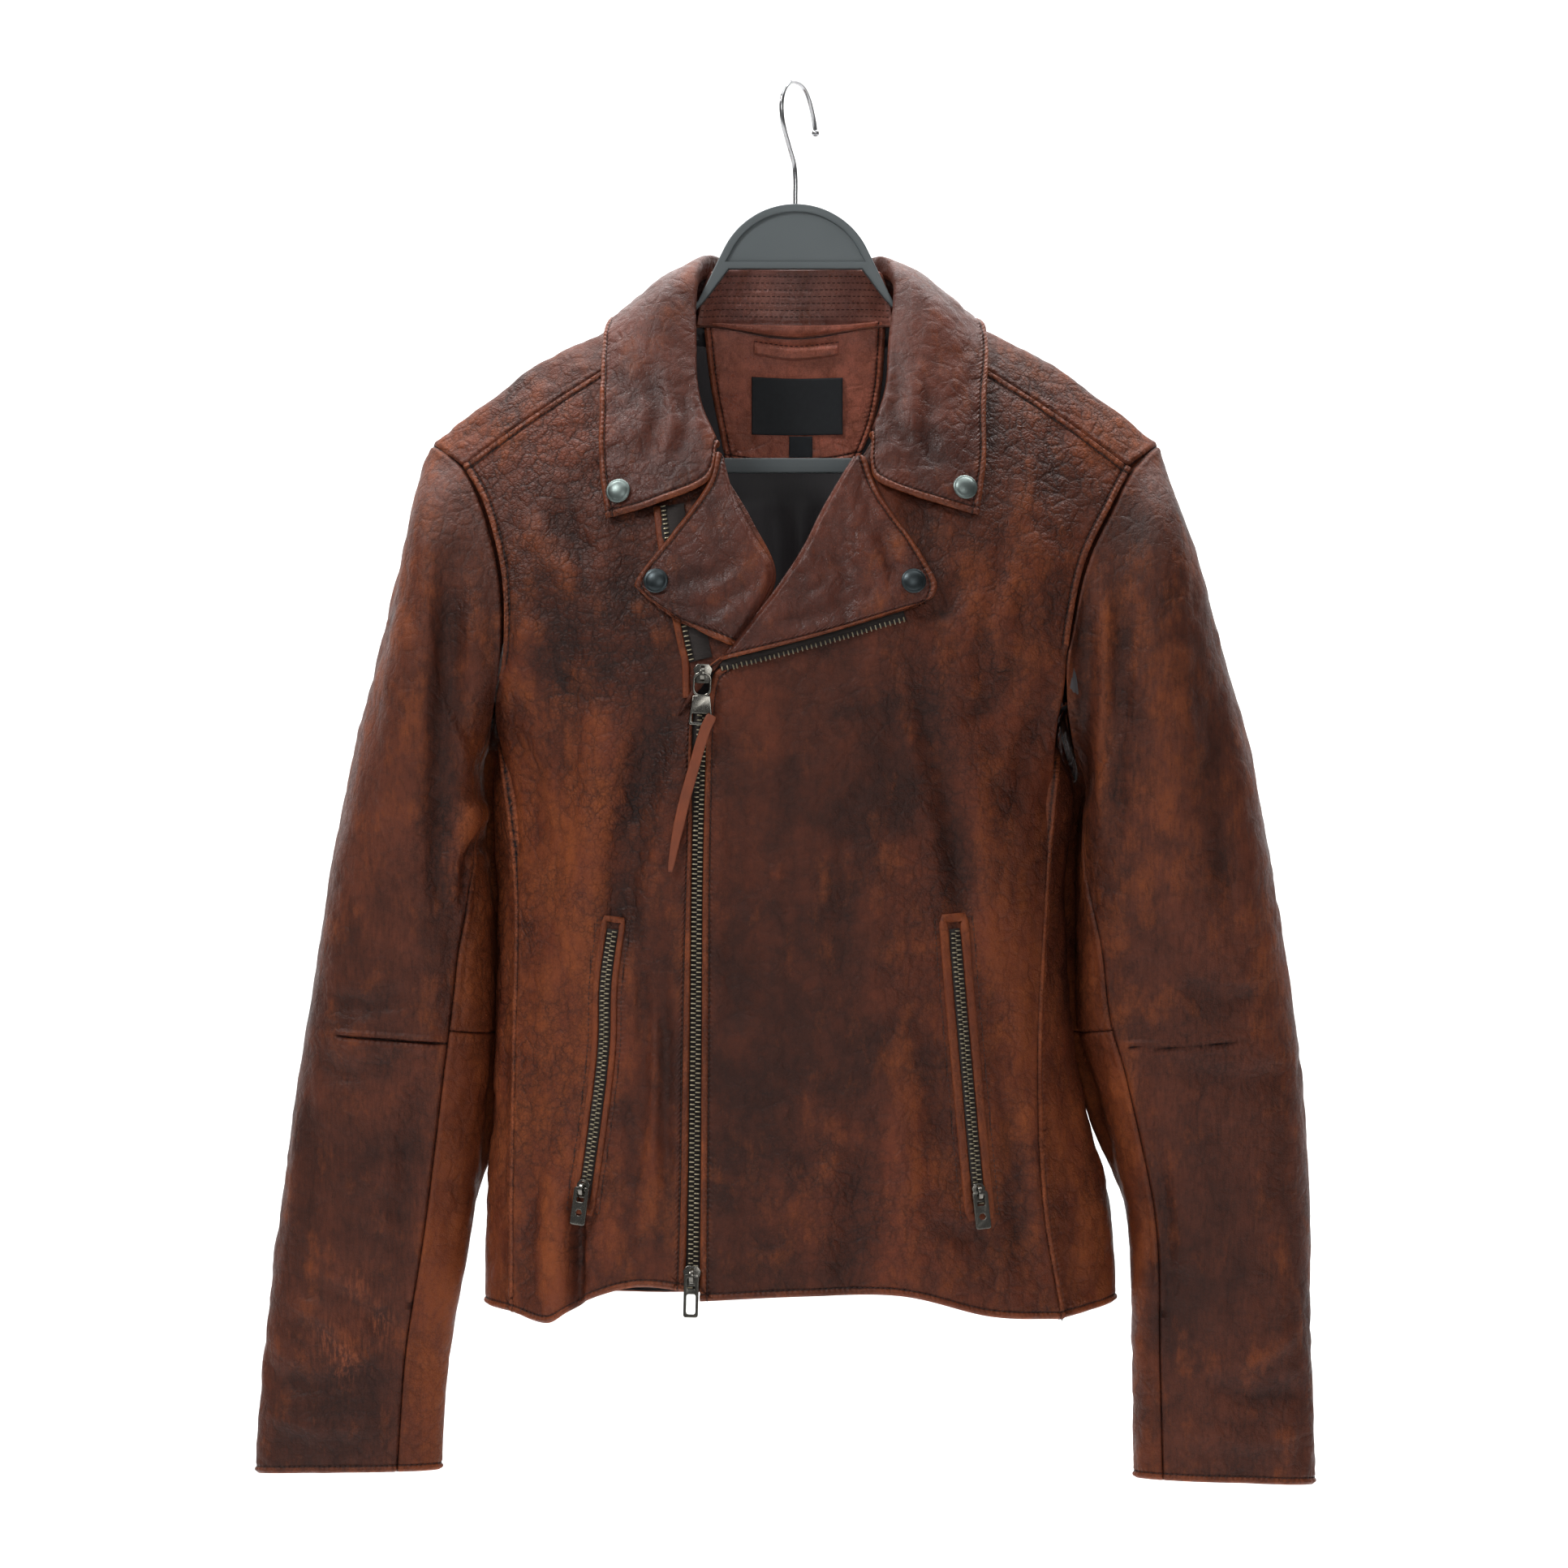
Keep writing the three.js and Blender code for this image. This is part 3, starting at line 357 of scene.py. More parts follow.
# %% Wear
# x, z, half width, half height, strength
DARK = [(34, -408, 75, 70, 0.25), (-10, -545, 55, 130, 0.75), (-110, -360, 60, 90, 0.2),
        (-269, -521, 45, 60, 0.5), (-269, -682, 60, 100, 0.5), (239, -692, 60, 110, 0.5),
        (90, -240, 60, 45, 0.2), (-100, -235, 50, 45, 0.15), (20, -700, 90, 50, 0.25),
        (170, -480, 20, 70, 0.7), (-60, -610, 60, 120, 0.25), (-280, -850, 60, 40, 0.3)]
WARM = [(-162, -594, 45, 170, 1.0), (132, -600, 40, 130, 0.75), (-215, -790, 24, 110, 0.9),
        (190, -716, 26, 130, 0.9), (-186, -213, 45, 30, 0.7), (181, -213, 45, 30, 0.7),
        (10, -682, 80, 45, 0.45), (-235, -301, 26, 90, 0.45), (205, -399, 45, 110, 0.5),
        (-192, -455, 18, 45, 1.0), (120, -330, 60, 60, 0.4), (-140, -430, 40, 60, 0.45),
        (-100, -560, 30, 120, 0.3), (-11, -485, 6, 7, 0.5), (300, -480, 26, 160, 0.35),
        (-300, -560, 24, 160, 0.3)]
# where the hide has shrunk into pebbles
PEBBLED = [(-130, -300, 75, 90, 1.0), (-150, -215, 60, 40, 0.8), (130, -290, 80, 90, 0.7),
           (150, -205, 60, 40, 0.8), (90, -480, 60, 140, 0.6), (-150, -600, 50, 170, 0.6),
           (-95, -440, 50, 90, 0.7), (-250, -600, 50, 60, 0.5), (-270, -820, 70, 50, 0.8),
           (265, -600, 60, 60, 0.5), (275, -820, 60, 50, 0.6), (60, -690, 120, 60, 0.6),
           (-200, -480, 30, 90, 0.9), (190, -480, 30, 120, 0.6), (-285, -430, 40, 90, 0.3)]
# where the front of the right forearm has been scraped
SCRATCHED = [(-255, -762, 8, 12, 0.5), (-276, -782, 10, 14, 0.5), (-268, -738, 7, 9, 0.35),
             (-288, -768, 7, 11, 0.3)]


def spots(p, table):
    x, z = p[..., 0], p[..., 2]
    total = np.zeros(x.shape)
    for cx, cz, rx, rz, strength in table:
        total += strength * np.exp(-(((x - cx) / rx) ** 2) - ((z - cz) / rz) ** 2)
    return np.clip(total, 0, 1)


print(len(DARK), "dark spots and", len(WARM), "warm ones")

# %% [markdown]
# ## Shader maths
# A finish is a few noises multiplied and mixed. Written as node calls that is unreadable, so one
# small class wraps a socket and lets Python's own operators add the Math nodes.

# %% Shader maths
class Value:
    """A socket that can be used in an expression."""

    def __init__(self, finish, socket):
        self.finish, self.socket = finish, socket

    def math(self, operation, first, second=None):
        sockets = {0: first} if second is None else {0: first, 1: second}
        return self.finish.node("ShaderNodeMath", {"operation": operation}, sockets)

    def __add__(self, other):
        return self.math("ADD", self, other)

    def __sub__(self, other):
        return self.math("SUBTRACT", self, other)

    def __rsub__(self, other):
        return self.math("SUBTRACT", other, self)

    def __mul__(self, other):
        return self.math("MULTIPLY", self, other)

    def __truediv__(self, other):
        return self.math("DIVIDE", self, other)

    def sine(self):
        return self.math("SINE", self)

    def clamp(self):
        return self.finish.node("ShaderNodeClamp", {}, {"Value": self})

    __radd__, __rmul__ = __add__, __mul__


class Finish:
    """A material being made."""

    def __init__(self, name):
        self.material = bpy.data.materials.new(name)
        self.material.use_nodes = True
        self.tree = self.material.node_tree
        self.tree.nodes.clear()

    def node(self, kind, settings, sockets, out=0):
        """Makes a node: its settings first, then the values or links of its sockets."""
        made = self.tree.nodes.new(kind)
        for key, value in settings.items():
            setattr(made, key, value)
        for key, value in sockets.items():
            if isinstance(value, Value):
                self.tree.links.new(value.socket, made.inputs[key])
            else:
                made.inputs[key].default_value = value
        return Value(self, made.outputs[out])

    def place(self, stretch=(1, 1, 1)):
        where = self.node("ShaderNodeTexCoord", {}, {}, "Object")
        return self.node("ShaderNodeMapping", {}, {"Vector": where, "Scale": stretch})

    def noise(self, scale, detail=3.0, rough=0.55, stretch=(1, 1, 1)):
        sockets = {"Vector": self.place(stretch), "Scale": scale, "Detail": detail, "Roughness": rough}
        return self.node("ShaderNodeTexNoise", {}, sockets, "Fac")

    def pebbles(self, size_mm, bend_mm, stretch=(1, 1, 1)):
        """The hide's cells: 0 in the cracks between them and 1 on top."""
        place = self.place(stretch)
        sockets = {"Vector": place, "Scale": 450 / size_mm, "Detail": 2.0}
        push = self.node("ShaderNodeTexNoise", {}, sockets, "Color")
        sockets = {0: push, 1: (bend_mm * MM,) * 3, 2: place}
        bent = self.node("ShaderNodeVectorMath", {"operation": "MULTIPLY_ADD"}, sockets)
        sockets = {"Vector": bent, "Scale": 1000 / size_mm}
        gap = self.node("ShaderNodeTexVoronoi", {"feature": "DISTANCE_TO_EDGE"}, sockets, "Distance")
        return (gap * 4.5).clamp()

    def painted(self, name):
        return self.node("ShaderNodeAttribute", {"attribute_name": name}, {}, "Fac")

    def mix(self, first, second, share):
        sockets = {0: share, 6: first, 7: second}
        return self.node("ShaderNodeMix", {"data_type": "RGBA"}, sockets, 2)

    def bump(self, height_mm, strength=1.0):
        sockets = {"Height": height_mm, "Distance": MM, "Strength": strength}
        return self.node("ShaderNodeBump", {}, sockets, "Normal")

    def done(self, **sockets):
        keyed = {key.replace("_", " "): value for key, value in sockets.items()}
        return self.surface(self.node("ShaderNodeBsdfPrincipled", {}, keyed, "BSDF"))

    def surface(self, shader):
        out = self.tree.nodes.new("ShaderNodeOutputMaterial")
        self.tree.links.new(shader.socket, out.inputs["Surface"])
        return self.material


def colour(red, green, blue):
    """A colour given as on a screen, 0 to 255, for a shader."""
    light = [(c / 255 / 12.92) if c <= 10 else ((c / 255 + 0.055) / 1.055) ** 2.4
             for c in (red, green, blue)]
    return (*light, 1.0)


# %% [markdown]
# ## Waxed leather
# The hide is dyed rust, then rubbed with a dark wax. The wax stays in the creases and in patches
# and wears off high places and edges. So one colour runs under everything, a dark one lies over
# it in clouds, and an orange one shows along the edges. The grain is small cells, larger and
# softer where the leather is crumpled. Cracks, creases and the troughs of folds are painted
# darker, and crumple tops and the ridges of folds lighter: partly wax and wear, partly painted
# shade and painted light. Leather deep in the neck gets little light, so the stand and the facing
# have paler colours, as painted light.

# %% Leather
DYE, WAX, RUBBED = colour(104, 49, 28), colour(57, 27, 17), colour(130, 66, 31)
# DIRT_AND_SHADE darkens the dark seam lines and random spots, and is also painted shade in cracks,
# creases and fold troughs
BARE, DIRT_AND_SHADE = colour(152, 80, 46), colour(24, 11, 8)
STITCH_PITCH, STITCH_LONG, STITCH_WIDE = 3.2, 2.4, 0.62
PUCKER = 2 * math.pi / STITCH_PITCH  # one pucker a stitch
PUCKER_REACH = 6.5  # mm from the stitches
SEAM_LINE = 0.85  # half width of the dark line that a seam draws
RUBBED_EDGE, EDGE_BAND = 1.6, 4.4  # mm from an edge: rubbed bare, and lighter out to the stitches


def leather(name, dye=DYE, wax=WAX, darker=0.0, gloss=0.5, shine=0.22, grain=1.0, hair=0.12):
    """`darker` leaves more wax on, `grain` is how strongly the hide has shrunk, `hair` its streaks."""
    m = Finish(name)
    drift, clouds = m.noise(10, 3, 0.55), m.noise(36, 5, 0.65, (1, 1, 0.7))
    mottle, wear = m.noise(125, 4, 0.65), m.noise(52, 5, 0.72, (1, 1, 0.5))
    pores, hairs = m.noise(1000, 3, 0.6), m.noise(520, 3, 0.6, (1, 1, 0.16))
    crest, dark, warm = m.painted("crest"), m.painted("dark"), m.painted("warm")
    edge, groove, along = m.painted("edge"), m.painted("groove"), m.painted("along")
    ridge, scratched = m.painted("ridge"), m.painted("scratched")
    shrunk = ((m.painted("shrunk") * 0.9 + (clouds - 0.5) * 1.8 + 0.12).clamp()) * grain
    pebble, wrinkle, fine = m.pebbles(2.9, 2.4), m.pebbles(9, 9), m.pebbles(1.3, 0.8)

    # Fold ridges keep less wax and are more rubbed, and fold troughs keep more: partly real wear, partly
    # painted light on the ridges and painted shade in the troughs
    waxed = ((drift - 0.5) * 1.7 + (clouds - 0.5) * 1.5 + (mottle - 0.5) * 0.8
             + dark * 0.5 - warm * 0.6 - ridge * 0.3 + (0.55 + darker)).clamp()
    worn = ((wear - 0.5) * 3.6 + warm * 0.7 - dark * 0.3 + crest * 0.2 + ridge * 0.35
            - (0.2 + darker)).clamp()
    rim = (((1 - edge / RUBBED_EDGE) + (wear - 0.5) * 3).clamp() * 0.3
           + ((EDGE_BAND - edge) / 0.6).clamp() * ((clouds - 0.5) * 1.6 + 0.3).clamp())
    skin = m.mix(m.mix(dye, wax, waxed), RUBBED, worn * 0.8)
    skin = m.mix(skin, BARE, rim)
    skin = m.mix(skin, BARE, (((hairs - 0.47) * 7).clamp() * scratched).clamp())
    # The skin darkens towards DIRT_AND_SHADE in the hide's cracks, in crumple creases and in fold
    # troughs, and lightens on crumple tops and fold ridges: painted shade and painted light, besides the
    # real dark seam lines and random tone
    cracks = (1 - pebble) * shrunk * 0.34 + (1 - wrinkle) * (shrunk * 0.2 + 0.13) + (1 - fine) * 0.18
    seam = (1 - groove / SEAM_LINE).clamp() * 0.85
    light = (crest * 0.22 + 0.9 + ridge * 0.26 - cracks - seam + (hairs - 0.5) * hair * 4
             + (pores - 0.5) * 0.5 + (mottle - 0.5) * 0.5).clamp()
    skin = m.mix(DIRT_AND_SHADE, skin, light)

    pulled = (1 - groove / PUCKER_REACH).clamp()
    puckers = (along * PUCKER + (mottle - 0.5) * 5).sine() * pulled * pulled * 0.2
    height = (pebble * shrunk * 0.26 + wrinkle * (shrunk * 0.34 + 0.16) + fine * 0.06 + pores * 0.03
              + mottle * 0.55 + hairs * hair * 0.4 - seam * 0.4 + puckers)
    rough = ((mottle - 0.5) * 0.4 + worn * 0.14 - waxed * 0.06 + gloss + (1 - pebble) * 0.1).clamp()
    return m.done(Base_Color=skin, Roughness=rough, Normal=m.bump(height),
                  Specular_IOR_Level=shine)


body_leather = leather("waxed leather")
sleeve_leather = leather("waxed leather, sleeve", dye=colour(94, 47, 30), grain=0.6, hair=0.3)
collar_leather = leather("waxed leather, collar", dye=colour(100, 48, 32), wax=colour(66, 34, 26),
                         gloss=0.4, shine=0.26, grain=0.5)
# The stand and the facing have paler colours as painted light, since little light reaches them deep in
# the neck
stand_leather = leather("waxed leather, collar stand", dye=colour(186, 118, 100),
                        wax=colour(136, 86, 76), gloss=0.34, shine=0.5, grain=0.4)
arm_leather = leather("waxed leather, under the arm", dye=colour(108, 52, 28), darker=-0.1, grain=0.6)
facing_leather = leather("waxed leather, facing", dye=colour(226, 132, 108), wax=colour(176, 104, 84),
                         darker=-0.2, gloss=0.34, shine=0.5, grain=0.7)

# %% [markdown]
# ## Lining, tape, thread and label
# The lining is a charcoal satin: smooth, with a soft sheen. Zip tape is a ribbed weave, and the
# label a finer one.

# %% Textiles
def weave(name, tint, pitch_mm, rough):
    m = Finish(name)
    where = m.place()
    rib = 2 * math.pi / (pitch_mm * MM) / 20  # a wave texture has a factor of 20 of its own
    sockets = {"Vector": where, "Scale": rib, "Distortion": 0.4}
    ribs = m.node("ShaderNodeTexWave", {"bands_direction": "Z"}, sockets, "Fac")
    fuzz = m.noise(300, 4, 0.6)
    tone = m.mix(tint, colour(12, 12, 13), (0.15 + fuzz * 0.35 - ribs * 0.12).clamp())
    return m.done(Base_Color=tone, Roughness=rough, Normal=m.bump(ribs * 0.08 + fuzz * 0.05))


def satin(name, tint):
    m = Finish(name)
    drift = m.noise(14, 3, 0.5, (1, 1, 0.25))
    thread = m.noise(900, 2, 0.5, (1, 1, 0.1))
    tone = m.mix(tint, colour(22, 20, 22), (drift * 0.8 + thread * 0.2).clamp())
    return m.done(Base_Color=tone, Roughness=0.55, Normal=m.bump(drift * 1.2 + thread * 0.03),
                  Sheen_Weight=0.25)


lining_satin = satin("charcoal lining", colour(74, 69, 72))
zip_tape = weave("zip tape", colour(44, 36, 33), 0.8, 0.85)
label_weave = weave("label weave", colour(50, 52, 56), 0.5, 0.7)
tag_weave = weave("size tag weave", colour(52, 55, 60), 0.5, 0.75)


def thread_finish(name, tint):
    m = Finish(name)
    twist = m.noise(1500, 2, 0.5)
    tone = m.mix(tint, colour(30, 17, 13), twist)
    return m.done(Base_Color=tone, Roughness=0.7, Normal=m.bump(twist * 0.1))


thread = thread_finish("waxed thread", colour(66, 36, 26))

# %% [markdown]
# ## Metal and plastic
# Zip parts are nickel, blackened in their hollows and rubbed bright on top. The snaps are
# gunmetal caps. The hook is drawn steel wire, and the hanger a slate-grey moulding.

# %% Metal and plastic
def old_metal(name, bright, dull, rough):
    m = Finish(name)
    stain, scratch = m.noise(260, 4, 0.6), m.noise(1400, 3, 0.6)
    tone = m.mix(bright, dull, ((stain - 0.46) * 3).clamp() * 0.35)
    return m.done(Base_Color=tone, Metallic=1.0, Roughness=(rough + (scratch - 0.5) * 0.3).clamp(),
                  Normal=m.bump(scratch * 0.015 + stain * 0.01))


nickel = old_metal("antique nickel", colour(128, 125, 118), colour(64, 62, 59), 0.22)
gunmetal = old_metal("gunmetal cap", colour(112, 122, 119), colour(84, 92, 90), 0.42)
tooth_metal = old_metal("zip teeth", colour(160, 150, 126), colour(112, 102, 84), 0.34)
blackened = old_metal("blackened cap", colour(62, 68, 70), colour(40, 44, 46), 0.4)
wire = old_metal("drawn steel wire", colour(190, 190, 192), colour(140, 140, 142), 0.2)


def moulding(name, tint):
    m = Finish(name)
    fine, slow = m.noise(1300, 3, 0.6), m.noise(16, 3, 0.5)
    tone = m.mix(tint, colour(72, 78, 80), (slow * 0.8 - 0.1).clamp())
    return m.done(Base_Color=tone, Roughness=(0.44 + (slow - 0.5) * 0.12).clamp(),
                  Normal=m.bump(fine * 0.03))


slate = moulding("slate plastic", colour(84, 91, 93))


def lace_finish(name):
    m = Finish(name)
    fibre, slow = m.noise(500, 4, 0.6, (1, 1, 0.2)), m.noise(60, 3, 0.6)
    tone = m.mix(colour(136, 64, 28), colour(84, 38, 18), (slow * 0.9 + fibre * 0.5 - 0.25).clamp())
    return m.done(Base_Color=tone, Roughness=0.6, Normal=m.bump(fibre * 0.12))


lace_tan = lace_finish("tan lace")
print(len(bpy.data.materials), "finishes")

# %% [markdown]
# ## Cutting and hanging a piece of leather
# Every sewn piece is a grid laid on its surface: fine near the borders, where the seams need it,
# and coarser between. Points are moved out by the relief, the border distances and the wear are
# stored on the mesh, and Solidify gives the wall its thickness with lining on the inner side. At a
# plain or lapped seam the piece runs on under its neighbour, as a seam allowance does.

# %% Cutting a piece
LEATHER = 1.2  # one layer of garment leather
FOLDED = 2.2  # collar and lapels: leather on leather
MIDDLE = np.array([0, 0, -400.0])
BORDER = np.cumsum([0, 0.5, 0.6, 0.7, 0.7, 0.7, 0.7, 0.7, 0.8, 0.9, 1.1, 1.5, 2, 2.5])
FINE = 6  # a seam across a piece has fine points this far on both sides
NO_SEAM = 99.0  # a distance that stands for no seam at all
FADE = 0.02  # share of a border over which one treatment gives way to the next
FOLD_FREE, SWELL_FREE = 10, 15  # how far from a seam the leather folds and swells freely
FOLD_GAIN = 1.6  # folds hang this much deeper than their tables say
FULL_FOLD = 5  # a fold this high is fully lit, or dark if it is as deep
ROW_LENGTH = 180  # the usual length of a row of stitches away from the borders
stitches = []  # place, direction and normal of every stitch
cloths = {}


def stations(length, step, seams=()):
    """Shares of a length: close together near both ends and any seam, `step` mm apart between."""
    edge = BORDER[BORDER < length / 3]
    between = length - 2 * edge[-1]
    inner = edge[-1] + np.linspace(0, between, max(round(between / step), 1) + 1)[1:-1]
    marks = np.concatenate([edge, inner, length - edge])
    for share in seams:
        centre = share * length
        marks = np.concatenate([marks[np.abs(marks - centre) > FINE + 0.5],
                                centre + np.linspace(-FINE, FINE, 17)])
    return np.sort(marks) / length


def normals_of(p, away, towards):
    """Normals of a grid of points, away from one place or towards another."""
    n = unit(np.cross(np.gradient(p, axis=1), np.gradient(p, axis=0)))
    j, i = p.shape[0] // 2, p.shape[1] // 2
    to = (towards if towards is not None else away) - p[j, i]
    look = 1 if towards is not None else -1
    return n * (1 if look * (n[j, i] @ to) > 0 else -1)


def border_distances(p):
    """How far each point lies from the four borders, along the cloth."""
    across = np.linalg.norm(np.diff(p, axis=1), axis=2).cumsum(1)
    down = np.linalg.norm(np.diff(p, axis=0), axis=2).cumsum(0)
    across, down = np.pad(across, ((0, 0), (1, 0))), np.pad(down, ((1, 0), (0, 0)))
    return {"left": across, "right": across[:, -1:] - across,
            "top": down, "bottom": down[-1:] - down}


def grid_mesh(name, p, flip):
    """A mesh on a grid of points, made from Blender's own grid; u and v become its UV map."""
    rows, columns = p.shape[:2]
    bm = bmesh.new()
    uv = bm.loops.layers.uv.new("UVMap")
    bmesh.ops.create_grid(bm, x_segments=columns - 1, y_segments=rows - 1, size=1, calc_uvs=True)
    index = {}
    for vert in bm.verts:
        i = round((vert.co.x + 1) / 2 * (columns - 1))
        j = round((vert.co.y + 1) / 2 * (rows - 1))
        index[vert] = (j, i)
    width = np.linalg.norm(np.diff(p, axis=1), axis=2).sum(1).mean() * MM
    height = np.linalg.norm(np.diff(p, axis=0), axis=2).sum(0).mean() * MM
    for face in bm.faces:
        for loop in face.loops:
            j, i = index[loop.vert]
            loop[uv].uv = (i / (columns - 1) * width, j / (rows - 1) * height)
    places = (p * MM).tolist()
    order = np.empty(len(bm.verts), int)
    for k, (vert, (j, i)) in enumerate(index.items()):
        vert.co = places[j][i]
        order[k] = j * columns + i
    if flip:
        bmesh.ops.reverse_faces(bm, faces=bm.faces)
    mesh = bpy.data.meshes.new(name)
    bm.to_mesh(mesh)
    bm.free()
    mesh.shade_smooth()
    return mesh, order, (width, height)


def place_object(name, mesh, slot, body="jacket", materials=(), replaces=()):
    """Puts a finished mesh in the scene, on its body; its slot is not used."""
    piece = add_object(name + "_shown", mesh)
    for material in materials:
        mesh.materials.append(material)
    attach(piece, body)
    if replaces:
        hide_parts(*replaces)
    return piece


ENDS = {"left": (1, 0), "right": (1, -1), "top": (0, 0), "bottom": (0, -1)}
FLAP = ((0.4, 0.5), (1.6, 1.5), (4.0, 3.0), (9.0, 5.8))  # a seam allowance: how far on and how far in
FLAP_CLEAR = (0, 0.5, 3, 3)  # and how much farther from the seam's dark line it counts as lying


def tuck(p, n, side):
    """Adds a seam allowance that runs on under the neighbour."""
    axis, end = ENDS[side]
    line, inner = np.take(p, end, axis), np.take(p, 1 if end == 0 else -2, axis)
    out, up = unit(line - inner), np.take(n, end, axis)
    flap = np.stack([line + a * out - b * up for a, b in FLAP], axis)
    order = (np.flip(flap, axis), p) if end == 0 else (p, flap)
    return np.concatenate(order, axis), pad(n, side)


def pad(values, side, farther=None):
    """Repeats a border's values on its seam allowance, growing by `farther` away from it."""
    axis, end = ENDS[side]
    more = np.repeat(np.take(values, [end], axis), len(FLAP), axis)
    if farther is not None:
        steps = np.array(farther if end == -1 else farther[::-1])
        more = more + (steps[:, None] if axis == 0 else steps[None])
    return np.concatenate((more, values) if end == 0 else (values, more), axis)


def set_numbers(mesh, order, **values):
    """Stores numbers on a mesh's points for its finish to read."""
    for key, numbers in values.items():
        layer = mesh.attributes.new(key, "FLOAT", "POINT")
        layer.data.foreach_set("value", numbers.reshape(-1)[order].astype(np.float32))


def sew(name, surface, borders, finish, away=MIDDLE, towards=None, lift=0.0, thick=LEATHER, step=3.2,
        folds=(), calm=(), rows=(), swell=3.0, rumple=2.0, seams=(), held="hung", lining=None,
        slot="leather", cut=None, replaces=()):
    """Makes one piece of the jacket over its CAD node, and notes its stitches."""
    rough = surface(np.linspace(0, 1, 13)[None], np.linspace(0, 1, 13)[:, None])
    lengths = border_distances(rough)
    u = stations(lengths["left"][:, -1].mean(), step)
    v = stations(lengths["top"][-1].mean(), step, seams)
    p = surface(u[None], v[:, None])
    n = normals_of(p, away, towards)
    p = p + lift * n
    d = border_distances(p)
    along = {"left": d["top"], "right": d["top"], "top": d["left"], "bottom": d["left"]}
    share = {"left": v[:, None], "right": v[:, None], "top": u[None], "bottom": u[None]}
    far = np.full(p.shape[:2], NO_SEAM)

    quiet = 1 - sum((line(p) for line in calm), np.zeros(p.shape[:2])).clip(0, 1)
    edge, groove, run, fixed, seam_relief = far, far, far * 0, far, far * 0
    for side, border in borders.items():
        start = -1
        for treat, end in parts_of(border):
            part = (smooth((share[side] - start) / FADE + 0.5)
                    * (1 - smooth((share[side] - end) / FADE + 0.5)))
            seam_relief = seam_relief + part * treat(d[side])
            off = d[side] + NO_SEAM * (1 - part)
            if treat in STITCH_AT:
                sewn = np.abs(d[side] - STITCH_AT[treat]) + NO_SEAM * (1 - part)
                run = np.where(sewn < groove, along[side], run)
                groove = np.minimum(groove, sewn)
                edge = np.minimum(edge, off)
            if treat in TUCKED:
                groove = np.minimum(groove, off + 0.2)
            if treat in TUCKED or treat is inside:
                fixed = np.minimum(fixed, off)
            start = end
    for off in rows:
        distance, where = off(p)
        run = np.where(distance < groove, where * ROW_LENGTH, run)
        groove = np.minimum(groove, distance)
    crest = crumple(p)
    patch = 0.4 + 0.6 * smooth(0.5 + 1.2 * grain_noise(p, (70, 70, 70), 2.2))
    loose = quiet * (0.1 + 0.9 * smooth(fixed / SWELL_FREE))
    hanging = FOLD_GAIN * sum((fold(p) for fold in folds), 0) * (0.3 + 0.7 * smooth(fixed / FOLD_FREE))
    hanging = hanging + loose * swell * sway(p)
    # The fold height, up on ridges and down in troughs, is kept for the finish, which paints light on
    # the ridges and shade in the troughs from it, along with their wear
    ridge = np.clip(hanging / FULL_FOLD, -1, 0.7)
    relief = hanging + loose * rumple * patch * (crest - 0.5) + seam_relief
    p = p + relief[..., None] * n
    n = normals_of(p, away, towards)
    cloths[name] = dict(p=p, n=n, d=d, u=u, v=v)

    numbers = dict(crest=crest * patch + (1 - patch) * 0.7, edge=edge, groove=groove, along=run,
                   ridge=ridge, scratched=spots(p, SCRATCHED) * (p[..., 1] < 0),
                   dark=spots(p, DARK), warm=spots(p, WARM), shrunk=spots(p, PEBBLED))
    flip = np.cross(p[1, 0] - p[0, 0], p[0, 1] - p[0, 0]) @ n[0, 0] > 0
    for side, border in borders.items():
        if any(treat in TUCKED for treat, _ in parts_of(border)):
            p, n = tuck(p, n, side)
            numbers = {key: pad(values, side, FLAP_CLEAR if key == "groove" else None)
                       for key, values in numbers.items()}
    mesh, order, (width, height) = grid_mesh(name, p, flip)
    set_numbers(mesh, order, **numbers)
    piece = place_object(name, mesh, slot, materials=[finish, lining or lining_satin],
                         replaces=replaces or [name])
    wall = piece.modifiers.new("wall", "SOLIDIFY")
    wall.thickness, wall.offset = thick * MM, -1
    wall.material_offset = 1
    cut or (width, height)
    for side, border in borders.items():
        start = -1.0
        for treat, end in parts_of(border):
            if treat in STITCH_AT:
                sew_along(name, side, STITCH_AT[treat], start, end)
            start = end
    print(f"{name}: {width * 1000:.0f} x {height * 1000:.0f} mm, {len(mesh.polygons)} faces")
    return piece


# %% [markdown]
# ## Stitches
# A machine stitch is a short bar of thread, pulled into the leather at both ends. There are some
# thousands of them, so each is a six-sided bead, copied along lines a set distance in from a
# border.

# %% Stitches
STITCH_PROUD = 0.12  # how far a stitch's middle stands over the leather


def stitch_line(points, normals):
    """Sets stitches along a line of points lying on the cloth."""
    points, normals = np.asarray(points), np.asarray(normals)
    run = run_along(points)
    centres = np.arange(STITCH_PITCH / 2, run[-1], STITCH_PITCH)
    if not len(centres):
        return
    way = unit(read_at(points, centres + 0.8, run) - read_at(points, centres - 0.8, run))
    out = unit(read_at(normals, centres, run))
    stitches.append((read_at(points, centres, run) + STITCH_PROUD * out, way, out))


def line_inside(name, side, inset):
    """The points of a piece that lie `inset` mm in from one of its borders."""
    c = cloths[name]
    p, n, d = c["p"], c["n"], c["d"][side]
    if side in ("top", "bottom"):
        p, n, d = p.transpose(1, 0, 2), n.transpose(1, 0, 2), d.T
    if side in ("right", "bottom"):
        p, n, d = p[:, ::-1], n[:, ::-1], d[:, ::-1]
    return [np.stack([read_at(row, inset, run) for row, run in zip(values, d)]) for values in (p, n)]


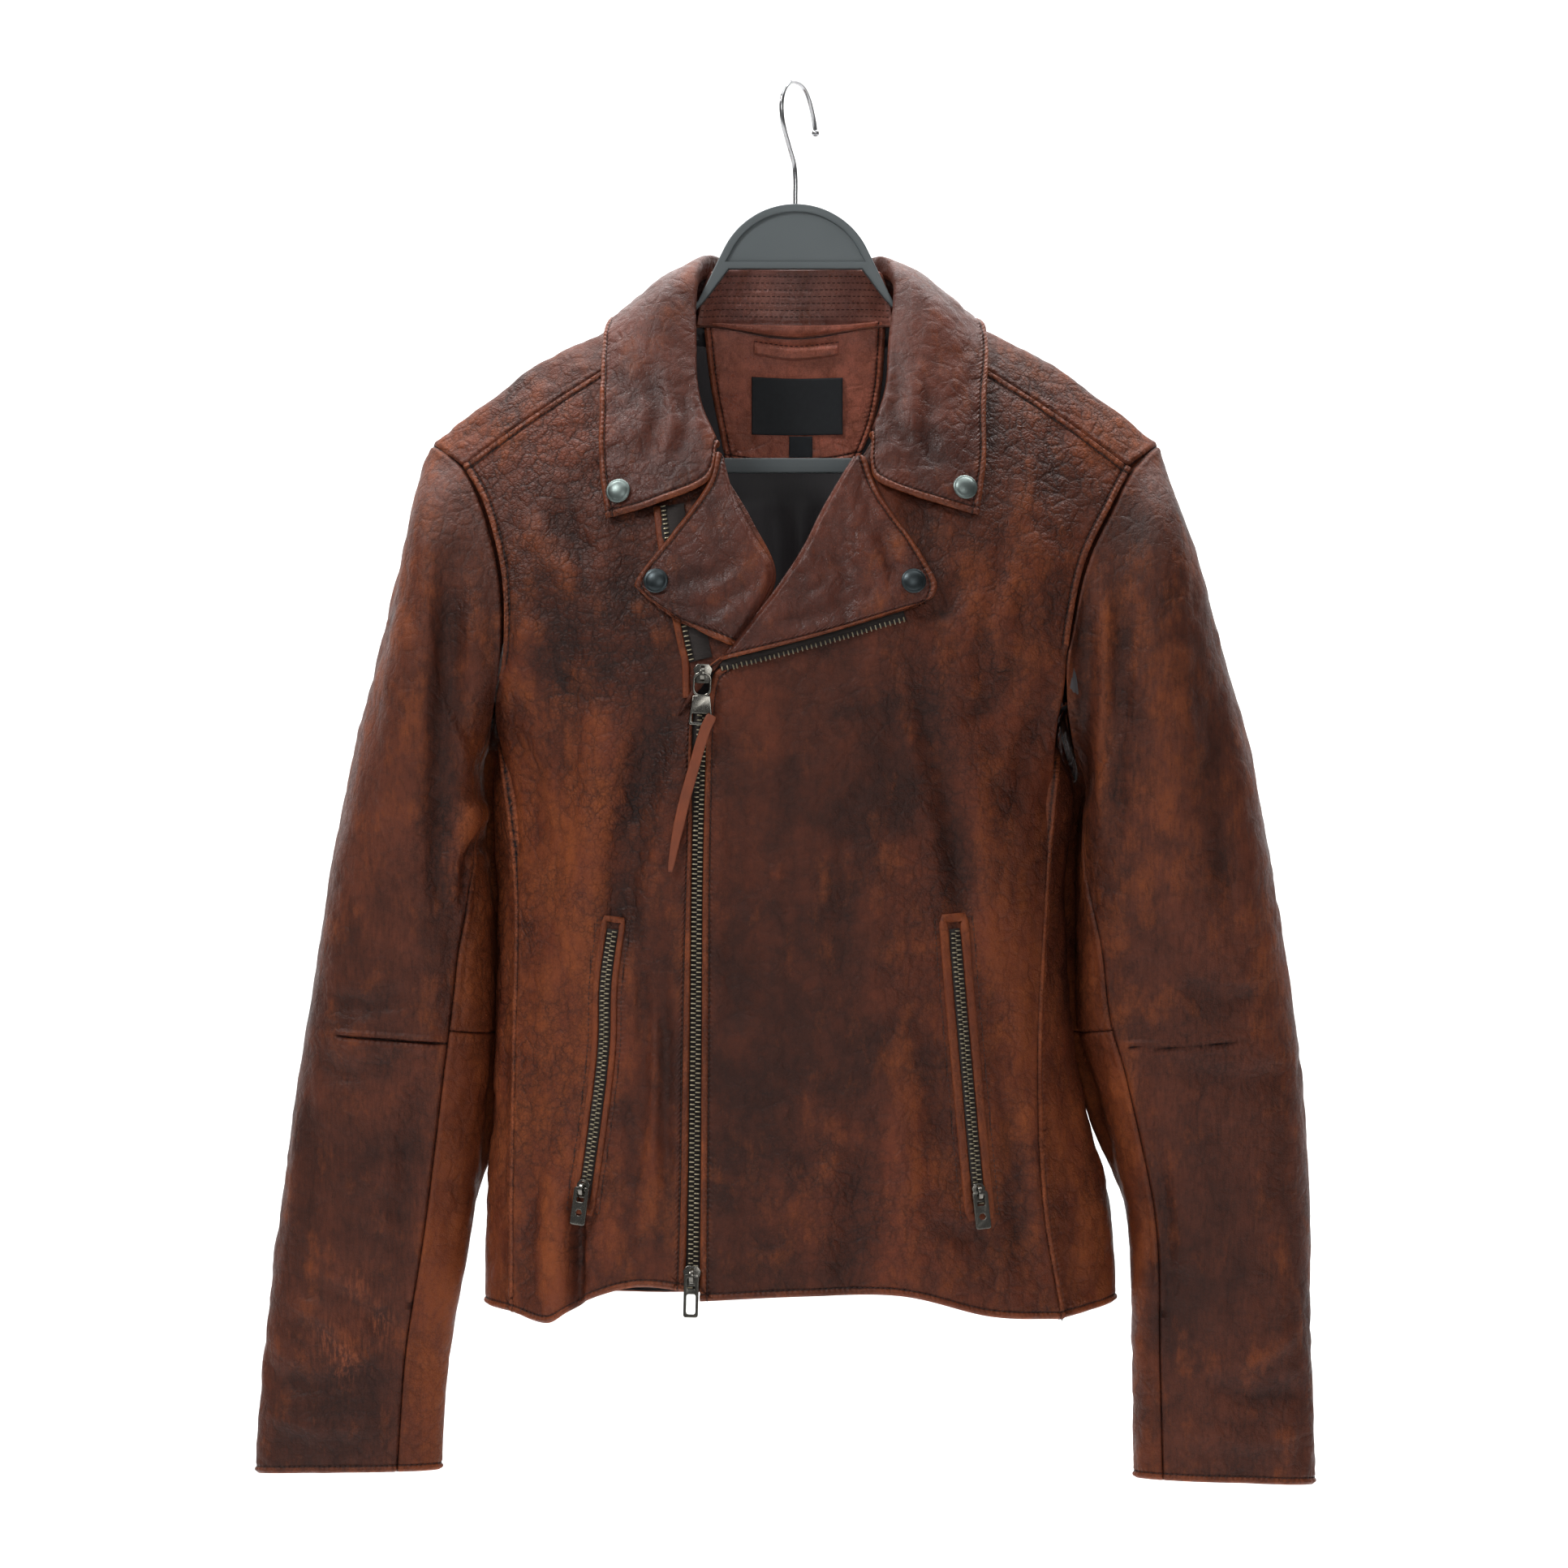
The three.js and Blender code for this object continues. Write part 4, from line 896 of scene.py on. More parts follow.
def sew_along(name, side, inset, start=-1.0, end=2.0):
    c = cloths[name]
    points, normals = line_inside(name, side, inset)
    shares = c["v"] if side in ("left", "right") else c["u"]
    keep = (shares >= start) & (shares <= end)
    points, normals = points[keep], normals[keep]
    if len(points) > 2:
        stitch_line(points, normals)


def copies(name, template, places, across, along, out):
    """One mesh that holds a copy of a small shape in each place."""
    co = np.array([v.co for v in template.verts])
    faces = [[v.index for v in f.verts] for f in template.faces]
    frames = np.stack([across, along, out], axis=1)
    points = (places[:, None] + np.einsum("vk,nkx->nvx", co, frames)) * MM
    mesh = bpy.data.meshes.new(name)
    count = len(co)
    everything = [[k * count + i for i in f] for k in range(len(places)) for f in faces]
    mesh.from_pydata(points.reshape(-1, 3).tolist(), [], everything)
    mesh.shade_smooth()
    return mesh


# %% [markdown]
# ## The two fronts
# Each front runs from the shoulder to the hem and from the armhole and side seam to the zip. The
# edge beside the zip is a narrow stitched band. Drape folds fall from the chest, and one deep
# fold breaks the hem near the right pocket. A sliver of the right front's inner side shows beside
# the main slider, so that side is leather and not lining.

# %% Fronts
FRONT_R = [
    [[-204, -236], [-165, -208], [-122, -180], [-94, -163], [-70, -150]],
    [[-190, -262], [-155, -243], [-118, -222], [-90, -206], [-66, -190]],
    [[-179, -305], [-146, -285], [-112, -265], [-79, -249], [-48, -234]],
    [[-178, -350], [-142, -330], [-105, -310], [-66, -292], [-26, -272]],
    [[-184, -386], [-140, -372], [-98, -354], [-55, -335], [-12, -308]],
    [[-180, -412], [-142, -420], [-105, -406], [-72, -385], [-36, -346]],
    [[-172, -455], [-141, -458], [-112, -442], [-85, -420], [-60.1, -376]],
    [[-170, -520], [-142, -520], [-114, -510], [-89, -498], [-62.6, -472]],
    [[-172, -600], [-143, -600], [-116, -598], [-90, -594], [-64.1, -590]],
    [[-173, -680], [-144, -680], [-117, -676], [-91, -670], [-65.1, -668]],
    [[-173, -753], [-150, -758], [-128, -744], [-97, -735], [-66.6, -737]]]
FRONT_L = [
    [[206, -238], [165, -208], [122, -180], [94, -163], [70, -150]],
    [[193, -262], [157, -243], [118, -222], [88, -206], [63, -190]],
    [[177, -295], [142, -278], [106, -262], [71, -248], [39, -235]],
    [[168, -335], [128, -322], [88, -310], [48, -296], [9, -282]],
    [[164, -374], [120, -368], [75, -356], [28, -342], [-15, -326]],
    [[160, -398], [116, -405], [66, -400], [12, -385], [-41, -357]],
    [[157, -440], [118, -445], [70, -440], [12, -430], [-51.9, -376]],
    [[152, -520], [112, -520], [62, -512], [6, -500], [-55.9, -472]],
    [[148, -600], [106, -600], [58, -600], [4, -596], [-56.9, -590]],
    [[150, -680], [108, -680], [58, -676], [4, -670], [-57.4, -668]],
    [[162, -756], [118, -753], [64, -740], [6, -740], [-57.9, -743]]]
POCKET_R = [[-110, -513], [-115, -552], [-116, -590], [-121, -634], [-129, -690]]
POCKET_L = [[95.5, -512], [99, -555], [103, -600], [107, -645], [111.5, -692]]
FOLDS_R = [
    crease([(-80, -376), (-92, -428), (-103, -487), (-107, -560)], 17, -4.0),
    crease([(-104, -372), (-118, -430), (-130, -500), (-134, -580)], 20, 2.6),
    crease([(-93, -510), (-91, -590), (-92, -690)], 7, -1.6),
    crease([(-82, -520), (-79, -600), (-78, -705)], 7, -1.6),
    crease([(-101, -600), (-99, -660), (-104, -735)], 8, -1.6),
    crease([(-134, -672), (-133, -710), (-134, -775)], 7, -5.0),
    crease([(-146, -662), (-147, -710), (-148, -775)], 14, 3.0),
    crease([(-168, -345), (-140, -372), (-112, -382)], 12, -1.6),
    crease([(-172, -300), (-150, -330), (-130, -362)], 12, -1.4),
    crease([(-176, -384), (-158, -430), (-156, -500)], 12, -1.8),
    crease([(-166, -262), (-146, -296), (-128, -318)], 11, 1.5),
    crease([(-150, -258), (-132, -284), (-116, -300)], 11, -1.5),
    crease([(-84, -560), (-86, -640), (-84, -720)], 8, 1.5),
]
FOLDS_L = [
    crease([(73, -345), (83, -399), (98, -472), (107, -536)], 15, -3.0),
    crease([(96, -352), (108, -420), (120, -500), (126, -580)], 18, 2.0),
    crease([(150, -345), (120, -380), (88, -398)], 12, -1.6),
    crease([(163, -372), (140, -412), (128, -470)], 12, -1.8),
    crease([(130, -600), (134, -670), (139, -740)], 12, -2.2),
    crease([(86, -690), (98, -704), (124, -702)], 9, -1.6),
    crease([(-40, -420), (-36, -500), (-38, -600)], 13, -1.0),
    crease([(40, -640), (36, -690), (34, -750)], 18, -2.0),
    crease([(62, -600), (66, -670), (62, -745)], 18, 1.8),
    crease([(120, -300), (96, -316), (80, -342)], 12, -1.5),
    crease([(146, -292), (128, -318), (118, -350)], 12, 1.5),
    crease([(-16, -485), (-11, -485), (-6, -485)], 6, 2.2),
]


def near(points, width):
    return crease(points, width, 1.3)


def pocket_box(line, half):
    """The distance from the row of stitches that frames a pocket."""
    off = distance_to(line)

    def at(p):
        d, share = off(p)
        return np.abs(d - half - 2.4), share
    return at


sew(
    "front_r", laid_on(front, FRONT_R),
    {"top": lapped, "left": in_turn((lapped, 0.34), (joined, 2)), "bottom": turned,
     "right": in_turn((inside, 0.5), (bound, 2))},
    body_leather, folds=FOLDS_R, rows=[pocket_box(POCKET_R, 7.5)], lining=body_leather,
    calm=[near(POCKET_R, 24), near([(-60, -330), (-60, -790)], 22)])
sew(
    "front_l", laid_on(front, FRONT_L),
    {"top": lapped, "left": in_turn((lapped, 0.34), (joined, 2)), "bottom": turned,
     "right": in_turn((inside, 0.45), (bound, 2))},
    body_leather, folds=FOLDS_L, rows=[pocket_box(POCKET_L, 9.3)],
    calm=[near(POCKET_L, 26), near([(-60, -330), (-60, -790)], 22)])

# %% [markdown]
# ## Back and shoulders
# The back is one piece that comes round both sides to the front. The two shoulder pieces lie
# over the hanger's arms, between a forward seam and a back seam.

# %% Back and shoulders
def flank(x, z):
    return np.array([x, 0, z], float)


BACK = [
    [back(-206, -238), back(-150, -196), back(-100, -165), back(-64, -144), back(0, -153),
     back(64, -144), back(100, -165), back(150, -196), back(207, -240)],
    [back(-191, -268), back(-143, -246), back(-98, -228), back(-52, -218), back(0, -216),
     back(52, -218), back(98, -228), back(143, -246), back(191, -268)],
    [back(-181, -318), back(-137, -306), back(-95, -296), back(-48, -290), back(0, -288),
     back(48, -290), back(92, -296), back(132, -304), back(173, -312)],
    [back(-181, -362), back(-137, -362), back(-94, -360), back(-47, -358), back(0, -358),
     back(46, -358), back(88, -360), back(126, -360), back(166, -362)],
    [back(-186, -392), back(-156, -402), back(-110, -405), back(-55, -405), back(0, -405),
     back(50, -405), back(98, -405), back(136, -404), back(164, -398)],
    [front(-181, -411), flank(-182.5, -421), back(-150, -440), back(-78, -446), back(0, -448),
     back(72, -446), back(138, -440), flank(168, -432), front(160, -420)],
    [front(-171, -490), flank(-181, -505), back(-155, -520), back(-82, -525), back(0, -525),
     back(76, -525), back(143, -520), flank(166.8, -505), front(153, -495)],
    [front(-172, -600), flank(-185, -604), back(-158, -608), back(-84, -610), back(0, -610),
     back(80, -610), back(148, -608), flank(173.5, -604), front(148, -600)],
    [front(-173, -680), flank(-188.8, -682), back(-162, -684), back(-86, -686), back(0, -686),
     back(88, -686), back(165, -684), flank(193.6, -682), front(150, -680)],
    [front(-173, -753), flank(-190, -750), back(-163, -748), back(-87, -750), back(0, -752),
     back(90, -750), back(170, -748), flank(198.3, -748), front(162, -756)]]
back_loft = loft(BACK)


def back_surface(u, v):
    """The back's loft, laid on the body's form between the two side folds."""
    p = back_loft(u, v)
    half = np.where(p[..., 0] < 0, half_right(p[..., 2]), half_left(p[..., 2]))
    share = np.clip((0.92 - np.abs(p[..., 0]) / half) / 0.1, 0, 1)
    share = np.where(p[..., 1] > 0, share, 0)[..., None]
    return p + share * (back(p[..., 0], p[..., 2]) - p)


def only_behind(fold):
    return lambda p: fold(p) * smooth(p[..., 1] / 20)


BACK_FOLDS = [only_behind(fold) for fold in (
    crease([(-170, -300), (-120, -380), (-95, -480)], 18, -2.6),
    crease([(160, -300), (118, -380), (92, -490)], 18, -2.8),
    crease([(-40, -430), (-48, -560), (-44, -745)], 20, -2.4),
    crease([(62, -470), (70, -600), (64, -745)], 22, -2.6),
    crease([(12, -520), (8, -620), (14, -750)], 18, 2.0),
    crease([(-110, -520), (-122, -620), (-118, -745)], 20, -2.2),
    crease([(128, -540), (134, -640), (138, -745)], 18, -2.0),
    crease([(-60, -200), (0, -212), (62, -200)], 14, -1.4),
    crease([(-150, -250), (-90, -262), (-30, -262)], 16, -1.2),
    crease([(150, -252), (96, -268), (40, -264)], 16, -1.2))]
sew(
    "back", back_surface,
    {"top": joined, "bottom": turned, "left": in_turn((joined, 0.53), (lapped, 2)),
     "right": in_turn((joined, 0.53), (lapped, 2))},
    body_leather, step=3.8, folds=BACK_FOLDS)

YOKE = [
    [[70, -150], [94, -163], [122, -180], [165, -208], [204, -236]],
    [[70, -139], [94, -151], [121, -166], [164, -191], [215, -228]],
    [[70, -130.5], [94, -141], [120, -153.5], [163, -176], [223.5, -222]],
    [[68, -137], [92, -150], [118, -165], [157, -188], [216, -229]],
    [[64, -144], [82, -154], [100, -165], [150, -196], [206, -238]]]


def shoulder(side):
    """Rows from the forward seam over the ridge to the back seam."""
    rows = []
    for j, row in enumerate(YOKE):
        lay = front if j < 2 else back
        rows.append([np.array([side * x, 0, z], float) if j == 2 else lay(side * x, z)
                     for x, z in row])
    return loft(rows)


for side, key in ((-1, "r"), (1, "l")):
    sew("yoke_" + key, shoulder(side),
        {"top": joined, "bottom": joined, "left": inside, "right": joined},
        body_leather, swell=0.9, rumple=1.8, step=2.6)

# %% [markdown]
# ## Sleeves
# A sleeve is a tube of three pieces: a wide outer one, and a narrow under one that is cut across
# at the elbow. The tube runs from the armhole through ten rings, and the two seams turn slowly
# inwards down the arm. A dart at the elbow gives the outer piece its bend. Behind the body's side
# the tube swells inwards, so that no light comes through between the arm and the body.

# %% Sleeve tubes
CORNER = 0.86  # below 1, a sleeve's section is squarer than an ellipse
START = 0.003  # of the sleeve's length, left for the armhole seam
BULGE, BULGE_TOP, BULGE_END = 11, -366, -700  # how far it swells towards the body, and where
ARMHOLE = {
    "r": [flank(-223.5, -222), front(-204, -236), front(-190, -262), front(-179, -305),
          front(-178, -350), front(-184, -386), flank(-189, -409), back(-186, -392),
          back(-181, -350), back(-181, -310), back(-191, -268), back(-206, -238)],
    "l": [flank(223.5, -222), front(206, -238), front(193, -262), front(177, -295),
          front(168, -335), front(164, -374), flank(172, -428), back(164, -398),
          back(166, -362), back(173, -312), back(191, -268), back(207, -240)]}
# outer edge [x, z], inner edge [x, z], depth in front, depth behind
RINGS = {
    "r": [[[-233, -250], [-193, -421], 62, 64], [[-246, -307], [-192, -438], 63, 65],
          [[-262, -377], [-191, -460], 60, 62], [[-275, -432], [-189, -488], 54, 58],
          [[-289, -498], [-186, -524], 47, 53], [[-299, -558], [-186, -572], 42, 48],
          [[-306.5, -610], [-189, -616], 38, 44], [[-317.5, -698], [-199, -700], 30, 36],
          [[-326, -780], [-213, -781], 23, 29], [[-333, -855], [-217.5, -853], 17, 23]],
    "l": [[[234, -250], [176, -437], 62, 64], [[252, -305], [174, -452], 64, 65],
          [[272, -380], [172.5, -472], 61, 63], [[286, -440], [172, -498], 56, 60],
          [[297, -500], [172, -530], 50, 54], [[306, -558], [173.5, -576], 43, 49],
          [[312, -612], [185, -618], 39, 45], [[316, -698], [203.5, -700], 31, 37],
          [[317.5, -780], [207, -782], 24, 30], [[320, -862], [209, -858], 19, 26]]}
# where the front and back seams run: share of a turn from the outer edge, down the arm
SEAMS = {
    "r": {"front": through([[0, 0.46], [0.35, 0.42], [0.55, 0.345], [1, 0.33]]),
          "back": through([[0, 0.6], [0.5, 0.66], [1, 0.67]]), "elbow": 0.63},
    "l": {"front": through([[0, 0.46], [0.35, 0.43], [0.55, 0.375], [1, 0.365]]),
          "back": through([[0, 0.6], [0.5, 0.66], [1, 0.67]]), "elbow": 0.62}}


def ring(spec):
    (xo, zo), (xi, zi), ahead, behind = spec
    a = np.arange(12) * math.pi / 6
    out, fore = soft_power(np.cos(a), CORNER), soft_power(np.sin(a), CORNER)
    return np.stack([(xo + xi) / 2 + (xo - xi) / 2 * out,
                     -fore * np.where(np.sin(a) > 0, ahead, behind),
                     (zo + zi) / 2 + (zo - zi) / 2 * out], axis=1)


def behind_body(tube, side):
    """Below the armhole the sleeve swells towards the body, behind its side."""
    def surface(a, t):
        p = np.array(tube(a, t))
        x, y, z = np.abs(p[..., 0]), p[..., 1], p[..., 2]
        high = smooth((BULGE_TOP - z) / 26) * smooth((z - BULGE_END) / 60)
        high = high * smooth((t - 0.004) / 0.05)
        behind = smooth((y - 2) / 12) * smooth((62 - y) / 16) * smooth((240 - x) / 30)
        p[..., 0] -= side * BULGE * high * behind
        return p
    return surface


def sleeve_piece(tube, left, right, top, end):
    """The part of a sleeve's tube between two seams and two heights."""
    def surface(u, v):
        t = top + v * (end - top)
        a = left(t) + u * (right(t) - left(t))
        return tube(a, t)
    return surface


def only_ahead(fold):
    return lambda p: fold(p) * smooth(-p[..., 1] / 15 + 0.3)


# %% [markdown]
# The front of a sleeve has its own folds, read off the garment. Those behind are plainer and the
# same on both arms.

# %% Sleeve folds
SLEEVE_FOLDS = {
    "r": [only_ahead(fold) for fold in (
        crease([(-209, -272), (-211, -350), (-214, -448), (-211, -560)], 15, -4.0),
        crease([(-192, -300), (-196, -380), (-200, -430)], 13, 2.0),
        crease([(-232, -300), (-238, -400), (-244, -500)], 20, 2.0),
        crease([(-186, -440), (-198, -452), (-208, -476), (-206, -510)], 10, 3.0),
        crease([(-188, -462), (-198, -478), (-199, -520)], 8, -3.2),
        crease([(-296, -560), (-262, -566), (-230, -556)], 12, -1.6),
        crease([(-300, -600), (-268, -608), (-236, -600)], 12, -1.6),
        crease([(-222, -600), (-236, -660), (-240, -740)], 14, -1.6),
        crease([(-330, -790), (-290, -800), (-250, -784)], 11, -2.2),
        crease([(-330, -815), (-292, -826), (-240, -820)], 10, 1.8),
        crease([(-318, -745), (-286, -760), (-262, -790)], 9, 1.8),
        crease([(-300, -735), (-270, -750), (-238, -775)], 9, -1.8))],
    "l": [only_ahead(fold) for fold in (
        crease([(178, -300), (176, -380), (172, -487)], 13, -3.0),
        crease([(198, -301), (196, -390), (192, -492)], 12, -2.4),
        crease([(188, -300), (186, -385), (182, -488)], 11, 1.8),
        crease([(222, -310), (226, -400), (230, -500)], 20, 1.8),
        crease([(248, -340), (258, -440), (262, -540)], 16, -1.8),
        crease([(300, -556), (262, -562), (226, -552)], 12, -1.6),
        crease([(306, -606), (270, -612), (224, -606)], 12, -1.6),
        crease([(218, -640), (226, -720), (226, -800)], 13, -2.2),
        crease([(320, -800), (282, -806), (246, -796)], 11, -2.0),
        crease([(316, -828), (280, -834), (230, -826)], 10, 1.8),
        crease([(310, -760), (288, -780), (262, -786)], 9, 1.6))]}
BEHIND_ARM = {
    key: [only_behind(fold) for fold in (
        crease([(s * 205, -290), (s * 215, -390), (s * 222, -500)], 16, -3.0),
        crease([(s * 250, -330), (s * 262, -430), (s * 266, -530)], 18, -2.0),
        crease([(s * 205, -560), (s * 245, -572), (s * 290, -560)], 12, -2.0),
        crease([(s * 210, -640), (s * 250, -650), (s * 300, -640)], 12, -1.6),
        crease([(s * 240, -680), (s * 250, -740), (s * 262, -800)], 14, -1.8),
        crease([(s * 222, -810), (s * 270, -822), (s * 318, -812)], 10, -1.8))]
    for key, s in (("r", -1), ("l", 1))}


DARTS = {"r": [(-206, -590), (-240, -588), (-279, -585)], "l": [(204, -592), (240, -592), (276, -587)]}


def elbow_dart(key):
    """A sewn pinch across the front of the outer piece, from the front seam outwards."""
    off = distance_to(DARTS[key])

    def at(p):
        d, _ = off(p)
        return smooth(-p[..., 1] / 8) * (0.7 * hump(d - 2.6, 2.6) - 1.3 * hump(d, 1.3))
    return at


def dart_stitches(key):
    """The distance from a dart's own line, on the front of the sleeve."""
    off = distance_to(DARTS[key])

    def at(p):
        d, share = off(p)
        return np.where(p[..., 1] < 0, d, NO_SEAM), share * 0.4
    return at


# %% [markdown]
# One loop sews both sleeves, because only their tables differ.

# %% Sewing the sleeves
for key in ("r", "l"):
    tube = loft([ARMHOLE[key], *[ring(spec) for spec in RINGS[key]]], closed=True)
    tube = behind_body(tube, -1 if key == "r" else 1)
    seam_front, seam_back, elbow = SEAMS[key]["front"], SEAMS[key]["back"], SEAMS[key]["elbow"]
    (xo, zo), (xi, zi) = RINGS[key][5][:2]
    core = np.array([(xo + xi) / 2, 0, zo])
    folds = SLEEVE_FOLDS[key] + BEHIND_ARM[key]
    seamed = {"top": joined, "bottom": turned, "left": joined, "right": joined}
    sew("sleeve_outer_" + key, sleeve_piece(tube, lambda t: seam_back(t) - 1, seam_front, START, 1),
        seamed, sleeve_leather, away=core, folds=folds + [elbow_dart(key)], swell=2.4, rumple=1.7,
        seams=[elbow + 0.012], rows=[dart_stitches(key)],
        replaces=["sleeve_outer_top_" + key, "sleeve_outer_low_" + key])
    sew("sleeve_under_top_" + key, sleeve_piece(tube, seam_front, seam_back, START, elbow),
        {**seamed, "bottom": joined}, arm_leather, away=core, folds=folds, swell=1.6, rumple=1.6)
    sew("sleeve_under_low_" + key, sleeve_piece(tube, seam_front, seam_back, elbow, 1), seamed,
        arm_leather, away=core, folds=folds, swell=1.4, rumple=1.4)

# %% [markdown]
# ## Lapels and collar
# Lapels and collar are two layers of leather turned and stitched together, so their edges are
# thick and rounded. The front edges have turned back, and the lapels lie on the chest. The collar
# stands up from the neck seam, rolls over and falls on the shoulders.

# %% Lapels
LAPEL_TOP = 5.3  # top face of a lapel over the front
LAPEL_R = [
    [[-48, -231], [-46, -231], [-44, -232]], [[-54, -252], [-46, -254], [-37, -257]],
    [[-74, -280], [-50, -281], [-25, -281]], [[-95, -307], [-55, -308], [-13, -304]],
    [[-93, -316], [-56, -326], [-23, -327]], [[-70, -332], [-54, -341], [-38, -348]]]
LAPEL_L = [
    [[35, -233], [38, -233], [42, -234]], [[17, -263], [35, -258], [52, -259]],
    [[5, -287], [38, -284], [72, -287]], [[-9, -309], [38, -307], [84, -308]],
    [[-25, -330], [30, -326], [83, -318]], [[-46, -357], [17, -341], [76, -322.5]]]
LAPEL = dict(lift=LAPEL_TOP, thick=FOLDED, step=1.8, held="folded", swell=1.3, rumple=1.7,
             lining=collar_leather)
sew("lapel_r", laid_on(front, LAPEL_R),
    {"left": turned, "right": rolled, "bottom": turned, "top": inside}, collar_leather, **LAPEL,
    folds=[crease([(-30, -290), (-52, -306), (-78, -308)], 9, -1.2),
           crease([(-22, -305), (-44, -322), (-62, -332)], 8, -1.2)])
sew("lapel_l", laid_on(front, LAPEL_L),
    {"right": turned, "left": rolled, "bottom": turned, "top": inside}, collar_leather, **LAPEL,
    folds=[crease([(20, -280), (30, -304), (24, -330)], 9, -1.2),
           crease([(48, -270), (58, -296), (60, -318)], 9, -1.2),
           crease([(-18, -336), (10, -330), (40, -322)], 7, -1.0)])

# %% [markdown]
# The collar is one leaf. Its rows run from the roll at the neck to the outer edge, and they go
# round the neck from the right point to the left one. Behind the neck both halves are the same.

# %% Collar
def forward(x, z, lift):
    return front(x, z) + np.array([0, -lift, 0])


COLLAR_R = [
    [forward(-45, -226, -3), forward(-47.5, -227, 3.5), forward(-53, -247, 7),
     forward(-84, -261, 7.5), forward(-115, -270, 6)],
    [forward(-57.5, -196, -5), forward(-60, -196, 3.5), forward(-77, -208, 8),
     forward(-99, -222, 7.5), forward(-119.5, -236, 6)],
    [forward(-61, -163, -5), forward(-62, -163, 3.5), forward(-79, -176, 8.5),
     forward(-100, -190, 7.5), forward(-119.5, -201, 6)],
    [[-60, -7, -129], [-61.5, -13, -120], [-79, -24, -130], [-100, -26, -148], [-119, -23, -166]],
    [[-53, 15, -118], [-55, 12, -105], [-75, 5, -114], [-95, 3, -130], [-114, 2, -145]],
    [[-33, 32, -118], [-35, 38, -105], [-53, 41, -117], [-73, 44, -137], [-90, 45, -160]],
    [[0, 37, -119], [0, 44, -106], [0, 51, -119], [0, 57, -145], [0, 65, -178]]]
COLLAR_L = [
    [forward(57, -163, -5), forward(58.5, -163, 3.5), forward(76, -176, 8.5),
     forward(97, -188, 7.5), forward(116.5, -198, 6)],
    [forward(54, -192, -5), forward(56, -192, 3.5), forward(73, -206, 8), forward(95, -220, 7.5),
     forward(116, -234, 6)],
    [forward(44, -221, -3), forward(46.5, -222, 3.5), forward(48, -246, 7),
     forward(77, -258, 7.5), forward(111, -268, 6)]]
mirrored = [np.array(row, float) * (-1, 1, 1) for row in reversed(COLLAR_R[3:-1])]
collar_surface = loft([*COLLAR_R, *mirrored, *COLLAR_L])
sew("collar", collar_surface, {"right": turned, "top": turned, "bottom": turned, "left": inside},
    collar_leather, away=np.array([0, 0, -300.0]), thick=FOLDED, step=2.2, held="folded",
    swell=1.6, rumple=2.0, lining=collar_leather,
    folds=[crease([(-92, -170), (-84, -206), (-94, -240)], 9, -1.6),
           crease([(-72, -180), (-66, -214), (-76, -240)], 8, -1.3),
           crease([(88, -180), (80, -214), (90, -244)], 9, -1.6),
           crease([(66, -170), (62, -206), (70, -236)], 8, -1.3)])

# %% [markdown]
# ## Inside the neck
# The collar's stand is quilted with rows of stitches that draw it into low waves. Below it a
# leather facing carries the hanging loop, the label and the size tag, and the lining fills the
# rest. The label and the tag are bare.

# %% Inside the neck
STAND = [
    [[-51, 9.5, -115], [-42, 18, -113], [-24, 27, -112], [0, 30.5, -112], [24, 27, -112],
     [42, 18, -113], [51, 9.5, -115]],
    [[-56, 11.5, -129], [-45, 22, -129], [-25, 31, -128.5], [0, 34.5, -128.5],
     [25, 31, -128.5], [45, 22, -129], [56, 11.5, -129]],
    [[-60, 17, -147], [-48, 27, -149], [-26, 35, -151], [0, 38.5, -151.5], [26, 35, -151],
     [48, 27, -149], [60, 17, -147]]]
QUILT_PITCH = 4.2


def quilted(d):
    """Rows of stitches that draw the leather into low waves."""
    return 0.6 * np.sqrt(np.abs(np.sin(math.pi * d / QUILT_PITCH))) - 0.5


sew("collar_stand", loft(STAND), {"top": quilted, "left": inside, "right": inside},
    stand_leather, away=np.array([0, 200.0, -130]), thick=FOLDED, step=1.0, held="stretched",
    swell=0.2, rumple=0.4, lining=stand_leather)
for row in range(1, 8):
    sew_along("collar_stand", "top", row * QUILT_PITCH)

NECK_CLOTH = {
    "lining_back": ([[[-66, -156], [-30, -160], [0, -161], [30, -160], [66, -156]],
                     [[-100, -220], [-50, -222], [0, -222], [50, -222], [100, -220]],
                     [[-112, -320], [-56, -320], [0, -320], [56, -320], [110, -320]],
                     [[-112, -430], [-56, -430], [0, -430], [56, -430], [110, -430]]], 4, 1.0),
    "neck_facing": ([[[-58, -141], [-30, -142.5], [0, -143], [30, -142.5], [57, -140]],
                     [[-54, -176], [-28, -178], [0, -178], [28, -178], [55, -176]],
                     [[-49, -203], [-25, -205], [0, -205], [25, -205], [50, -202]],
                     [[-44, -227], [-23, -230], [-1, -231], [21, -229], [41, -225]]], 5.8, LEATHER),
    "label": ([[[-27.5, -174], [1, -175], [30, -174.5]],
               [[-27.5, -210], [1, -210.5], [30, -210]]], 7.6, 0.8),
    "size_tag": ([[[-4, -211.2], [11, -211.2]], [[-4, -224.5], [11, -224.5]]], 7.8, 0.6),
    "hang_loop": ([[[-26, -152], [0, -154.5], [27, -152.5]],
                   [[-26, -160], [0, -163.5], [27, -160.5]]], 7.9, 2.4)}


def lay_inside(line, lift=10.4):
    """Places and normals on the hanging loop for a line of [x, z] points."""
    places = back(line[:, 0], line[:, 1])
    return places - [0, lift, 0], np.tile([0, -1.0, 0], (len(line), 1))


def neck_cloth(name, borders, finish, **more):
    rows, low, thick = NECK_CLOTH[name]
    return sew(name, laid_on(back, rows), borders, finish, towards=MIDDLE, lift=low + thick,
               thick=thick, lining=finish, **more)


